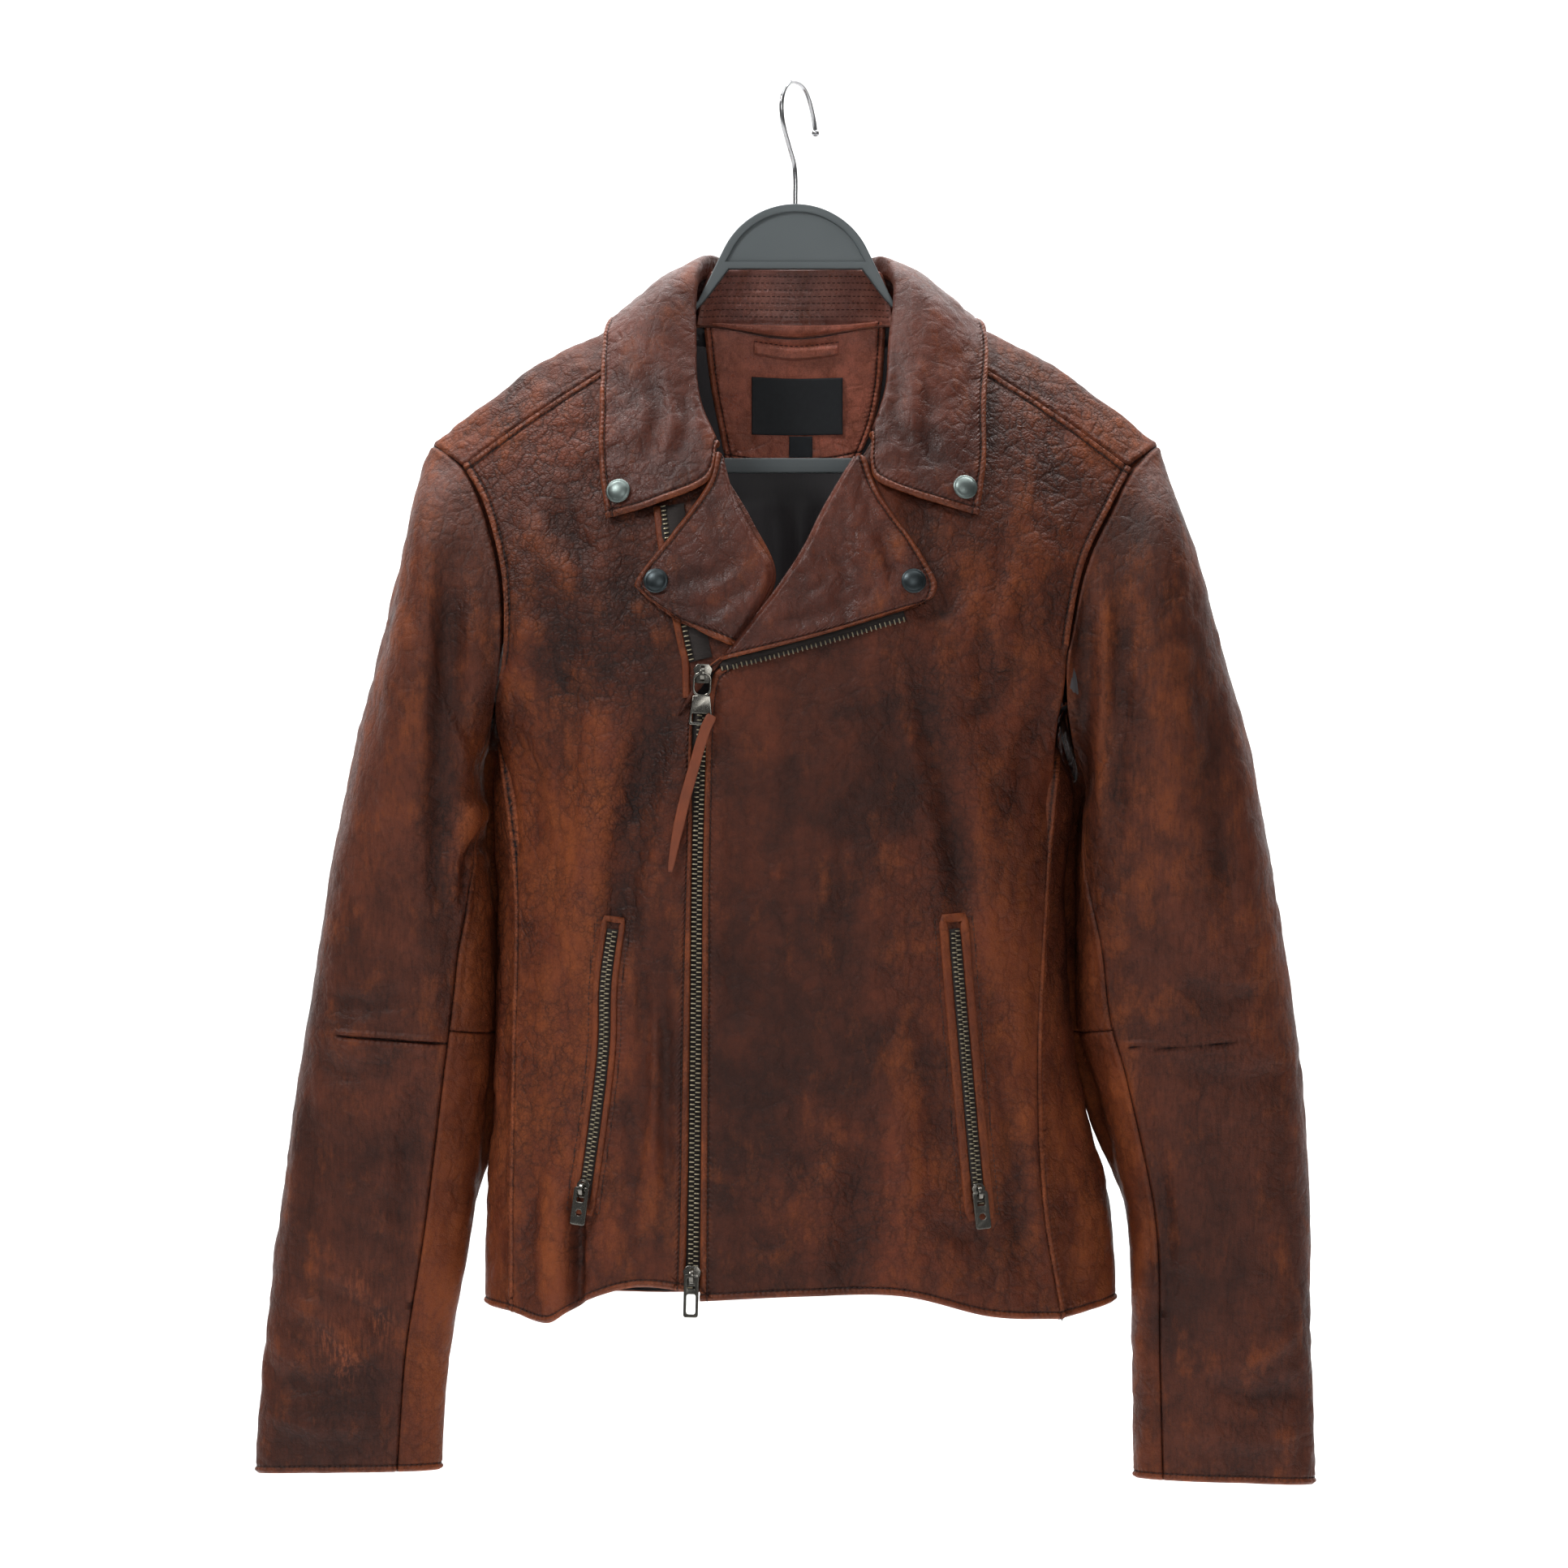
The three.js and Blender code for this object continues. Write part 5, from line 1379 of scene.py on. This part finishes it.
LINING_FOLDS = [lambda p: 4.2 * smooth((-232 - p[..., 2]) / 26),  # it hangs clear of the back
                crease([(-14, -235), (-12, -300), (-18, -420)], 9, -1.3),
                crease([(16, -235), (20, -300), (14, -420)], 10, -1.2),
                crease([(-34, -240), (-30, -310), (-38, -420)], 9, 2.0),
                crease([(2, -240), (4, -320), (0, -420)], 9, 2.0)]
neck_cloth("lining_back", {}, lining_satin, folds=LINING_FOLDS, swell=0.6, rumple=0.0, slot="lining")
neck_cloth("neck_facing", {"left": turned, "right": turned, "bottom": turned, "top": inside},
           facing_leather, swell=0.5, rumple=0.9, step=1.8, held="stretched")
WOVEN = {side: woven_edge for side in ("left", "right", "top", "bottom")}
neck_cloth("label", WOVEN, label_weave, swell=0.25, rumple=0.1, step=2, slot="label")
neck_cloth("size_tag", WOVEN, tag_weave, swell=0.1, rumple=0.0, step=1, slot="label")


def loop_edge(d):
    """The round edge of the loop, which is a folded strip."""
    return -2.0 * hump(d, 2.6)


LOOP = [(-26, -156), (0, -159), (27, -156.5)]
neck_cloth("hang_loop", {"top": loop_edge, "bottom": loop_edge, "left": inside, "right": inside},
           facing_leather, rows=[distance_to(LOOP)], swell=0.2, rumple=0.3, step=0.8,
           held="stretched", cut=(0.053, 0.0105))
stitch_line(*lay_inside(flat_curve(LOOP, 30)))

# %% [markdown]
# ## Laying things on the fronts
# Pocket welts, zips and their stitching lie on the finished leather, folds and all. A ray dropped
# on the front's own mesh finds the place and the direction for each point.

# %% Laying on the fronts
def tree_of(name):
    p = cloths[name]["p"]
    rows, columns = p.shape[:2]
    i = (np.arange(rows - 1)[:, None] * columns + np.arange(columns - 1)).reshape(-1)
    quads = np.stack([i, i + 1, i + columns + 1, i + columns], axis=1)
    return BVHTree.FromPolygons(p.reshape(-1, 3).tolist(), quads.tolist())


trees = {key: tree_of("front_" + key) for key in ("r", "l")}


def lay_on(key, points):
    """Places and normals on a front for [x, z] points; off its edge, those of the bare form."""
    places, outs = [], []
    for x, z in points:
        hit, normal, _, _ = trees[key].ray_cast(Vector((x, -250, z)), Vector((0, 1, 0)), 300)
        if hit is None:
            hit, normal = front(x, z), front_normal(x, z)
        normal = np.array(normal)
        places.append(np.array(hit))
        outs.append(-normal if normal[1] > 0 else normal)
    outs = np.array(outs)
    kernel = np.ones(5) / 5
    smoothed = [np.convolve(np.pad(outs[:, k], 2, mode="edge"), kernel, "valid") for k in range(3)]
    return np.array(places), unit(np.stack(smoothed, axis=1))


def offset(line, count, aside):
    """The smooth line through [x, z] points, moved aside by so many mm."""
    pts = flat_curve(line, count)
    way = unit(np.gradient(pts, axis=0))
    return pts + aside * np.stack([-way[:, 1], way[:, 0]], axis=1)


def tube(name, places, outs, section, closed, finish, slot, replaces=(), body="jacket", taper=None):
    """Sweeps a section of (aside, out) points along a line, as one closed skin."""
    places, outs = np.asarray(places), np.asarray(outs)
    way = np.roll(places, -1, 0) - np.roll(places, 1, 0) if closed else np.gradient(places, axis=0)
    aside = unit(np.cross(unit(way), outs))
    up = unit(np.cross(aside, unit(way)))
    section = np.array(section, float)
    sizes = np.ones(len(places)) if taper is None else np.asarray(taper)
    rings = (places[:, None] + sizes[:, None, None] * (section[None, :, :1] * aside[:, None]
             + section[None, :, 1:] * up[:, None]))
    rings = np.concatenate([rings, rings[:, :1]], axis=1)
    if closed:
        rings = np.concatenate([rings, rings[:1]])
    mesh, _, _ = grid_mesh(name, rings, False)
    bm = bmesh.new()
    bm.from_mesh(mesh)
    bmesh.ops.remove_doubles(bm, verts=bm.verts, dist=1e-6)
    bmesh.ops.holes_fill(bm, edges=bm.edges, sides=len(section) + 1)
    bmesh.ops.recalc_face_normals(bm, faces=bm.faces)
    bm.to_mesh(mesh)
    bm.free()
    plain = np.ones(len(mesh.vertices))  # an even strip, for a leather finish to read
    set_numbers(mesh, np.arange(len(plain)), crest=plain, edge=plain * 4, groove=plain * 9,
                dark=plain * 0, warm=plain * 0.3, shrunk=plain * 0.2)
    return place_object(name, mesh, slot, body, [finish], replaces)


def pillow(half, low, high, count=10):
    """A rounded section: flat below, domed above."""
    a = np.linspace(0, math.pi, count)
    return np.stack([half * soft_power(np.cos(a), 0.6), low + (high - low) * np.sin(a) ** 0.6], axis=1)


# %% [markdown]
# A pocket's two welts are one loop round its opening, framed by a row of stitches.

# %% Pocket welts
# line, half width over both welts, place of the slider
POCKETS = {"r": (POCKET_R, 7.5, (-127.3, -676)), "l": (POCKET_L, 9.3, (109.8, -678))}
OPENING = 3.6  # half width of a pocket's opening
for key, (line, half, _) in POCKETS.items():
    middle = (half + OPENING) / 2
    wide = (half - OPENING) / 2
    down, up = offset(line, 60, middle), offset(line, 60, -middle)[::-1]
    ring_xz = np.concatenate([down, up])
    places, outs = lay_on(key, ring_xz)
    welt = tube("pocket_welt_" + key, places, outs, pillow(wide, -0.6, 1.5), True, body_leather,
                "leather", ["pocket_welt_" + key])
    across = 2 * wide + 2
    2 * across * MM
    length_of(places) / 2 * MM
    for side in (1, -1):
        box, out = lay_on(key, offset(line, 70, side * (half + 2.4)))
        stitch_line(box, out)
    ends = [[offset(line, 70, half + 2.4)[k], offset(line, 70, -half - 2.4)[k]] for k in (0, -1)]
    for first, last in ends:
        box, out = lay_on(key, np.linspace(first, last, 8))
        stitch_line(box, out)

# %% [markdown]
# ## Zips
# A metal zip is two rows of teeth crimped on a tape's beaded edge, offset by half a pitch so that
# they lock. One tooth is a small bevelled block; a loop sets the rows.

# %% Zips
TOOTH_PITCH = 2.9  # in one row
TAPE_LEAST = 10.1  # the least width taken for a tape, in mm


def tooth_shape(across, along, out):
    bm = bmesh.new()
    bmesh.ops.create_cube(bm, size=1)
    bmesh.ops.scale(bm, vec=(across, along, out), verts=bm.verts)
    bmesh.ops.bevel(bm, geom=bm.edges, offset=0.18, affect="EDGES", segments=1, profile=0.5,
                    material=-1)
    return bm


tooth_places = []


def row_of_teeth(places, outs, aside, lift, start=0.0):
    """Notes a row of teeth beside a line on the cloth."""
    run = run_along(places)
    at = np.arange(start + TOOTH_PITCH / 2, run[-1], TOOTH_PITCH)
    along = unit(read_at(places, at + 0.5, run) - read_at(places, at - 0.5, run))
    out = unit(read_at(outs, at, run))
    across = unit(np.cross(along, out))
    out = np.cross(across, along)
    tooth_places.append((read_at(places, at, run) + aside * across + lift * out, across, along, out))


def tape(name, places, outs, half, low, high, replaces):
    section = [(-half, low), (half, low), (half, high), (-half, high)]
    piece = tube(name, places, outs, section, False, zip_tape, "zip_tape", replaces)
    max(2 * half, TAPE_LEAST) * MM
    length_of(places) * MM


def bare_form(path, count):
    pts = offset(path, count, 0)
    return front(pts[:, 0], pts[:, 1]), front_normal(pts[:, 0], pts[:, 1])


MAIN_ZIP = [[-56, -381], [-59.2, -472], [-60.4, -590], [-61.2, -668], [-62, -737]]
OPEN_R = [[-61, -357], [-63.5, -346], [-69, -320], [-75, -290], [-78.5, -263]]
OPEN_L = [[-45, -361.5], [17, -345], [66, -330.5]]
places, outs = bare_form(MAIN_ZIP, 120)
tape("zip_main", places, outs, 10, -2.6, -1.8, ["zip_main"])
row_of_teeth(places, outs, -1.6, -0.4)
row_of_teeth(places, outs, 1.6, -0.4, TOOTH_PITCH / 2)
# path, how far its tape lies aside, half the tape's width
for key, path, aside, half in (("r", OPEN_R, -3.4, 7.8), ("l", OPEN_L, 2.2, 3.8)):
    places, outs = lay_on(key, offset(path, 60, aside))
    tape("zip_open_" + key, places, outs, half, 0.3, 0.9, ["zip_open_" + key])
    places, outs = lay_on(key, offset(path, 60, 0))
    row_of_teeth(places, outs, -1.4 if key == "r" else 1.0, 1.6)
# the right front's rolled edge beside its open zip
places, outs = lay_on("r", offset([[-60.4, -379], *OPEN_R], 60, 5.4))
tube("open_edge_r", places, outs, pillow(2.3, -0.3, 1.9), False, body_leather, "leather")
for key, (line, _, _) in POCKETS.items():
    path = offset(line, 80, 0)[3:-3]
    places, outs = lay_on(key, path)
    tape("pocket_zip_" + key, places, outs, OPENING, 0.2, 0.6, ["pocket_zip_" + key])
    row_of_teeth(places, outs, -1.3, 1.1)
    row_of_teeth(places, outs, 1.3, 1.1, TOOTH_PITCH / 2)
block = tooth_shape(3.1, 0.8, 1.4)
block.verts.index_update()
where, across, along, out = (np.concatenate(c) for c in zip(*tooth_places))
place_object("zip_teeth", copies("zip_teeth", block, where, across, along, out),
             "antique_nickel", materials=[tooth_metal])
print(len(where), "teeth")

# %% [markdown]
# ## Sliders and pulls
# Sliders and pulls are stamped metal: a flat outline with holes and rounded edges. A filled curve
# with a bevel gives exactly that. Each is drawn lying flat and then laid on the leather, leaning
# as it hangs, and its pull rides on its own body.

# %% Plates
def plate(outline, holes, low, high, edge=0.25):
    """A flat shape with holes and rounded edges, between two heights, as a bmesh."""
    data = bpy.data.curves.new("plate", "CURVE")
    data.dimensions, data.fill_mode = "2D", "BOTH"
    for points in (outline, *holes):
        spline = data.splines.new("POLY")
        spline.points.add(len(points) - 1)
        for point, (x, y) in zip(spline.points, points):
            point.co = (x, y, 0, 1)
        spline.use_cyclic_u = True
    data.extrude, data.bevel_depth = (high - low) / 2 - edge, edge
    data.bevel_resolution, data.offset = 2, -edge
    holder = bpy.data.objects.new("plate", data)
    mesh = bpy.data.meshes.new_from_object(holder)
    bm = bmesh.new()
    bm.from_mesh(mesh)
    bmesh.ops.remove_doubles(bm, verts=bm.verts, dist=1e-4)
    bmesh.ops.translate(bm, vec=(0, 0, (low + high) / 2), verts=bm.verts)
    bmesh.ops.recalc_face_normals(bm, faces=bm.faces)
    bpy.data.objects.remove(holder)
    bpy.data.curves.remove(data)
    bpy.data.meshes.remove(mesh)
    return bm


def join(parts):
    """One bmesh out of several."""
    whole = bmesh.new()
    for bm in parts:
        mesh = bpy.data.meshes.new("part")
        bm.to_mesh(mesh)
        whole.from_mesh(mesh)
        bpy.data.meshes.remove(mesh)
        bm.free()
    return whole


def finish_solid(name, bm, matrix, finish, slot, body="jacket", replaces=(), angle=40):
    """Turns a bmesh drawn in millimetres into a placed piece."""
    bmesh.ops.transform(bm, matrix=Matrix.Scale(MM, 4) @ matrix, verts=bm.verts)
    mesh = bpy.data.meshes.new(name)
    bm.to_mesh(mesh)
    bm.free()
    mesh.shade_smooth()
    mesh.set_sharp_from_angle(angle=math.radians(angle))
    return place_object(name, mesh, slot, body, [finish], replaces)


def standing(place, n, up):
    """A matrix with Z along n and Y as near to `up` as that allows."""
    y = unit(up - (up @ n) * n)
    rows = Matrix((np.cross(y, n).tolist(), y.tolist(), n.tolist())).transposed().to_4x4()
    rows.translation = place.tolist()
    return rows


def matrix_onto(place, lift, lean):
    """Stands X across, Y up the zip and Z out of the cloth, at [x, z] on the front."""
    x, z = (np.array(c, float) for c in place)
    p, n = front(x, z), front_normal(x, z)
    return standing(p + lift * n, n, np.array([math.sin(lean), 0, math.cos(lean)]))


def rounded(x0, y0, x1, y1, r, steps=4):
    """A rectangle with round corners."""
    points = []
    for cx, cy, first in ((x1 - r, y0 + r, -90), (x1 - r, y1 - r, 0), (x0 + r, y1 - r, 90),
                          (x0 + r, y0 + r, 180)):
        for k in range(steps + 1):
            a = math.radians(first + 90 * k / steps)
            points.append((cx + r * math.cos(a), cy + r * math.sin(a)))
    return points


# %% [markdown]
# A slider is a foot and a bridge. The pull's bar lies in the bridge, and its hinge runs along it.

# %% Sliders and pulls
BAR, BRIDGE = 1.7, 2.6
FOOT = 1.6
EYE = FOOT + 0.6  # a pull's bar over the slider's foot
# stands the bridge on edge across the slider, on top of its foot
ACROSS = Matrix(((0, 0, 1, 0), (1, 0, 0, 0), (0, 1, 0, FOOT), (0, 0, 0, 1)))


def arch(radius, height, steps=12):
    return [(radius * math.cos(k * math.pi / steps), height * math.sin(k * math.pi / steps))
            for k in range(steps + 1)]


def slider(width, length):
    """A waisted plate with a bridge over it that the pull's bar lies under."""
    k, half = width * 0.4, length / 2
    foot = plate([(-k, -half), (k, -half), (k, -length / 6), (width / 2, length / 4),
                  (width * 0.3, half), (-width * 0.3, half), (-width / 2, length / 4),
                  (-k, -length / 6)], [], 0, FOOT)
    bridge = plate([*arch(4.8, 4.6), (-4.8, -1), (-3.5, -1), *reversed(arch(3.5, 3.5)), (3.5, -1),
                    (4.8, -1)], [], -BRIDGE / 2, BRIDGE / 2, 0.3)
    bmesh.ops.transform(bridge, matrix=ACROSS, verts=bridge.verts)
    bmesh.ops.recalc_face_normals(bridge, faces=bridge.faces)
    return join([foot, bridge])


def pull(width, length, holes):
    window = rounded(-2.4, -8, 2.4, -1, 0.8)
    return plate(rounded(-width / 2, -length, width / 2, 1, 1.6), [window, *holes], 0, BAR)


# a six-sided hole
HEX = [(2.2 * math.cos(k * math.pi / 3), -14.5 + 2.2 * math.sin(k * math.pi / 3)) for k in range(6)]
SLIDERS = {  # place, foot width and length, lean, height of the foot over the front
    "main": ((-55.6, -364.5), (11.5, 11.5), 0.04, 2.2),
    "low": ((-62.1, -727.5), (11, 12), 0.02, 1.9),
    "pocket_r": (POCKETS["r"][2], (8.4, 11), 0.13, 2.5),
    "pocket_l": (POCKETS["l"][2], (8.4, 11), -0.1, 2.5)}
PULLS = {
    "main": lambda: join([
        plate(rounded(-5.7, -14, 5.7, 1, 4.8, 8), [rounded(-4.3, -12.6, 4.3, -0.6, 3.6, 8)],
              0, BAR, 0.5),
        plate([(-5.2, -13.4), (5.2, -13.4), (7.3, -29.8), (6.4, -31), (-6.4, -31), (-7.3, -29.8)],
              [rounded(-5.4, -29.6, 5.4, -24, 0.8)], 0, BAR, 0.4)]),
    "low": lambda: pull(9, 25, [rounded(-2.8, -23, 2.8, -11, 1.4)]),
    "pocket_r": lambda: pull(9.6, 22, [HEX]),
    "pocket_l": lambda: pull(9.6, 22, [HEX])}
for key, (place, size, lean, base) in SLIDERS.items():
    finish_solid("slider_" + key, slider(*size), matrix_onto(place, base, lean), nickel,
                 "antique_nickel", replaces=["slider_" + key])
    finish_solid("pull_" + key, PULLS[key](), matrix_onto(place, base + EYE, lean), nickel,
                 "antique_nickel", "pull_" + key, ["pull_" + key])

# %% [markdown]
# ## The thong
# A flat lace is tied through the main pull, as a handle for a gloved hand. It lies over the tab's
# lower bar and hangs down the front, and its end is cut to a point.

# %% Thong
THONG = [
    (-49.5, -389.5, 8.6), (-51, -392.5, 9), (-53, -396.5, 8.6), (-55, -402, 7.4), (-57, -408, 6.2),
    (-59, -415, 5.4), (-61, -422, 5), (-63, -429, 4.8), (-65, -436, 4.6), (-66.8, -443, 4.4),
    (-68.5, -450, 4.3), (-70, -457, 4.2), (-71.5, -464, 4.2), (-72.8, -471, 4.2), (-74, -478, 4.2),
    (-75, -484, 4.2)]
THONG_W, THONG_T = 6.5, 1.6
THONG_TAPER = [0, 0.03, 0.72, 0.94, 1], [0.8, 1, 1, 0.6, 0.34]  # shares of its length and width
points = np.array([front(x, z) + out * front_normal(x, z) for x, z, out in THONG])
line = curve_through(points, 60)
lace_way = unit(np.gradient(line, axis=0))
lace_out = unit(np.cross(lace_way, np.cross([0, -1, 0], lace_way)))
corners = np.linspace(0, 2 * math.pi, 25)[:-1]
halves, faces = soft_power(np.cos(corners), 0.5), soft_power(np.sin(corners), 0.5)
fold_line = 1 - 0.55 * np.exp(-((halves - 0.15) / 0.16) ** 2)  # the lace is folded lengthwise
section = np.stack([halves * THONG_W / 2, faces * fold_line * THONG_T / 2], axis=1)
pointed = np.interp(np.linspace(0, 1, len(line)), *THONG_TAPER)
thong = tube("thong", line, lace_out, section, False, lace_tan, "thong", ["thong"], "pull_main",
             pointed)
length = length_of(line)
[tuple(p * MM) for p in line]
print(f"thong {length:.0f} mm")

# %% [markdown]
# ## Snaps
# Four caps hold the collar and the lapels down. A cap is turned: a domed disc on a thin rim, so
# its profile is spun round its axis.

# %% Snaps
# radius and height
SNAP = [(0, 3.3), (2.4, 3.15), (4.6, 2.6), (5.7, 2.0), (6.2, 1.65), (6.6, 1.6), (7.1, 1.45),
        (7.5, 1.0), (7.3, 0.4), (6.7, 0)]


def snap():
    bm = bmesh.new()
    verts = [bm.verts.new((r, 0, z)) for r, z in SNAP]
    edges = [bm.edges.new(pair) for pair in zip(verts, verts[1:])]
    bmesh.ops.spin(bm, geom=verts + edges, cent=(0, 0, 0), axis=(0, 0, 1), angle=2 * math.pi,
                   steps=32, use_merge=True)
    bmesh.ops.remove_doubles(bm, verts=bm.verts, dist=1e-4)
    bmesh.ops.holes_fill(bm, edges=bm.edges, sides=40)
    bmesh.ops.recalc_face_normals(bm, faces=bm.faces)
    return bm


def on_collar(u, v):
    e = 0.01
    p = collar_surface(u, v)
    n = unit(np.cross(collar_surface(u + e, v) - collar_surface(u - e, v),
                      collar_surface(u, v + e) - collar_surface(u, v - e)))
    n = -n if n[1] > 0 else n
    return standing(p + 0.45 * n, n, np.array([0, 0, 1.0]))


for key, place in (("r", (-83.5, -309.5)), ("l", (70.5, -309.5))):
    finish_solid("snap_lapel_" + key, snap(), matrix_onto(place, LAPEL_TOP + 0.4, 0), blackened,
                 "antique_nickel", replaces=["snap_lapel_" + key])
for key, v in (("r", 0.03), ("l", 0.97)):
    finish_solid("snap_collar_" + key, snap(), on_collar(0.91, v), gunmetal, "antique_nickel",
                 replaces=["snap_collar_" + key])

# %% [markdown]
# ## Hanger and hook
# The hanger is one moulding: two arms, a bar, and a domed middle with a sunk panel on each side.
# Its outline is a filled curve with a rounded edge. The hook is a bent wire with a ball end.

# %% Hanger
HANGER_T, RECESS = 12, 1.6
ARM_TOP = [(60, -134), (90, -146.5), (117, -159.5), (150, -178.5), (172, -192), (188, -204.5),
           (200, -217), (203, -227), (198, -237), (189, -239.5)]
ARM_UNDER = [(182, -230.5), (184, -223), (176, -212), (150, -195.5), (112, -173), (84, -156.5),
             (60, -138), (41, -114)]


def arc(cx, cy, r, start, end, steps):
    return [(cx + r * math.cos(start + k * (end - start) / steps),
             cy + r * math.sin(start + k * (end - start) / steps)) for k in range(steps + 1)]


def soft_line(points, count):
    return [tuple(q) for q in flat_curve(points, count)]


def both_sides(right):
    return [*right, *[(-x, z) for x, z in reversed(right)]]


dome = arc(0, -123, 49, 0.46, math.pi - 0.46, 40)
arm = soft_line(ARM_TOP, 60)
outline = [*reversed(arm), *dome, *[(-x, z) for x, z in arm]]
opening = both_sides(soft_line(ARM_UNDER, 40))
panel = [*arc(0, -123, 44, 0.42, math.pi - 0.42, 36), (-43, -109.5), (43, -109.5)]
deep = HANGER_T / 2
frame_bm = plate(outline, [opening, panel], -deep, deep, 0.8)
web_bm = plate([(x * 1.02, -112 + (z + 112) * 1.03) for x, z in panel], [], RECESS - deep,
               deep - RECESS, 0.2)
upright = Matrix.Rotation(math.pi / 2, 4, "X")
finish_solid("hanger", join([frame_bm, web_bm]), upright, slate, "hanger", replaces=["hanger"])

# %% [markdown]
# The hook is bent in one upright plane. It has swivelled well round from the hanger's own plane,
# so from the front it looks narrow.

# %% Hook
HOOK_WIRE = 3
HOOK_TURN = math.radians(64)
HOOK = [(0, -86), (0, -78), (0, -68), (0, -58), (-2, -49), (-9.5, -38), (-17, -26), (-19.5, -15),
        (-16.5, -6), (-9, -0.2), (0, 1.5), (10, -0.4), (18, -6.4), (23.5, -14.5), (27, -22),
        (28.5, -27.5)]
bent = np.array([(h * math.cos(HOOK_TURN), h * math.sin(HOOK_TURN), z) for h, z in HOOK])
bent = curve_through(bent, 110)
side_on = np.array([-math.sin(HOOK_TURN), math.cos(HOOK_TURN), 0])
turns = np.linspace(0, 2 * math.pi, 17)[:-1]
round_wire = np.stack([np.cos(turns), np.sin(turns)], axis=1) * HOOK_WIRE / 2
tube("hook", bent, np.tile(side_on, (len(bent), 1)), round_wire, False, wire, "hook_wire", ["hook"])
ball = bmesh.new()
bmesh.ops.create_uvsphere(ball, u_segments=24, v_segments=16, radius=2.5)
finish_solid("hook_ball", ball, Matrix.Translation(bent[-1].tolist()), wire, "hook_wire")

# %% [markdown]
# ## Setting the stitches
# All the stitch lines noted above become one mesh of small beads.

# %% Setting the stitches
bead = bmesh.new()
bmesh.ops.create_uvsphere(bead, u_segments=6, v_segments=4, radius=1)
bmesh.ops.rotate(bead, matrix=Matrix.Rotation(math.pi / 2, 3, "X"), verts=bead.verts)
bmesh.ops.scale(bead, vec=(STITCH_WIDE / 2, STITCH_LONG / 2, 0.3), verts=bead.verts)
bead.verts.index_update()
where, along, out = (np.concatenate(c) for c in zip(*stitches))
across = unit(np.cross(along, out))
place_object("stitches", copies("stitches", bead, where, across, along, np.cross(across, along)),
             "leather", materials=[thread])
print(len(where), "stitches")

# %% [markdown]
# ## Studio
# A pale sweep stands well behind and below, and soft lamps light the jacket from above, so that
# every fold has a bright upper side. From behind, the sweep is clear: a view of the jacket's back
# isn't blocked by it.

# %% Studio
SWEEP_WIDE, SWEEP_FRONT, SWEEP_TOP = 6, -1.5, 1.6  # metres, as all lengths in this cell
FLOOR_END, FLOOR, BEND = 0.9, -1.15, 0.5
sweep_bm = bmesh.new()
bend = [(FLOOR_END + BEND * math.sin(a), FLOOR + BEND - BEND * math.cos(a))
        for a in np.linspace(0.2, math.pi / 2, 8)]
profile = [(SWEEP_FRONT, FLOOR), (FLOOR_END, FLOOR), *bend, (FLOOR_END + BEND, SWEEP_TOP)]
verts = [sweep_bm.verts.new((-SWEEP_WIDE / 2, y, z)) for y, z in profile]
edges = [sweep_bm.edges.new(pair) for pair in zip(verts, verts[1:])]
side = bmesh.ops.extrude_edge_only(sweep_bm, edges=edges)
moved = [item for item in side["geom"] if isinstance(item, bmesh.types.BMVert)]
bmesh.ops.translate(sweep_bm, vec=(SWEEP_WIDE, 0, 0), verts=moved)
bmesh.ops.recalc_face_normals(sweep_bm, faces=sweep_bm.faces)
if sum(face.normal.y for face in sweep_bm.faces) > 0:  # the faces have to look at the camera
    bmesh.ops.reverse_faces(sweep_bm, faces=sweep_bm.faces)
sweep_mesh = bpy.data.meshes.new("sweep")
sweep_bm.to_mesh(sweep_mesh)
sweep_bm.free()
sweep_mesh.shade_smooth()
pale = Finish("pale paper")
sockets = {"Base Color": (0.86, 0.86, 0.86, 1), "Roughness": 0.9}
paper = pale.node("ShaderNodeBsdfPrincipled", {}, sockets, "BSDF")
clear = pale.node("ShaderNodeBsdfTransparent", {}, {}, "BSDF")
away = pale.node("ShaderNodeNewGeometry", {}, {}, "Backfacing")
mixed = pale.node("ShaderNodeMixShader", {}, {"Fac": away, 1: paper, 2: clear}, "Shader")
sweep_mesh.materials.append(pale.surface(mixed))
add_object("sweep", sweep_mesh)


def softbox(name, place, aim, size, power):
    lamp = bpy.data.lights.new(name, "AREA")
    lamp.shape, lamp.size, lamp.size_y, lamp.energy = "RECTANGLE", size[0], size[1], power
    holder = add_object(name, lamp)
    holder.location = place
    holder.rotation_euler = (Vector(aim) - Vector(place)).to_track_quat("-Z", "Y").to_euler()


# name, place, aim, size and power in watts
softbox("key", (-1.5, -1.5, 1.5), (0, 0, -0.4), (0.8, 0.7), 46)
softbox("front", (0.4, -3.4, 0.3), (0, 0, -0.4), (1.4, 1.2), 20)
softbox("top", (0.3, -0.6, 1.3), (0, 0, -0.3), (1.4, 0.7), 7)
softbox("behind", (0, 0.5, 1.5), (0, 1.4, -0.4), (3.4, 0.5), 110)
world = bpy.data.worlds.new("studio")
world.use_nodes = True
sky = world.node_tree.nodes["Background"].inputs
sky["Color"].default_value = (1, 1, 1, 1)
sky["Strength"].default_value = 0.14
bpy.context.scene.world = world
bpy.context.scene.view_settings.view_transform = "Standard"
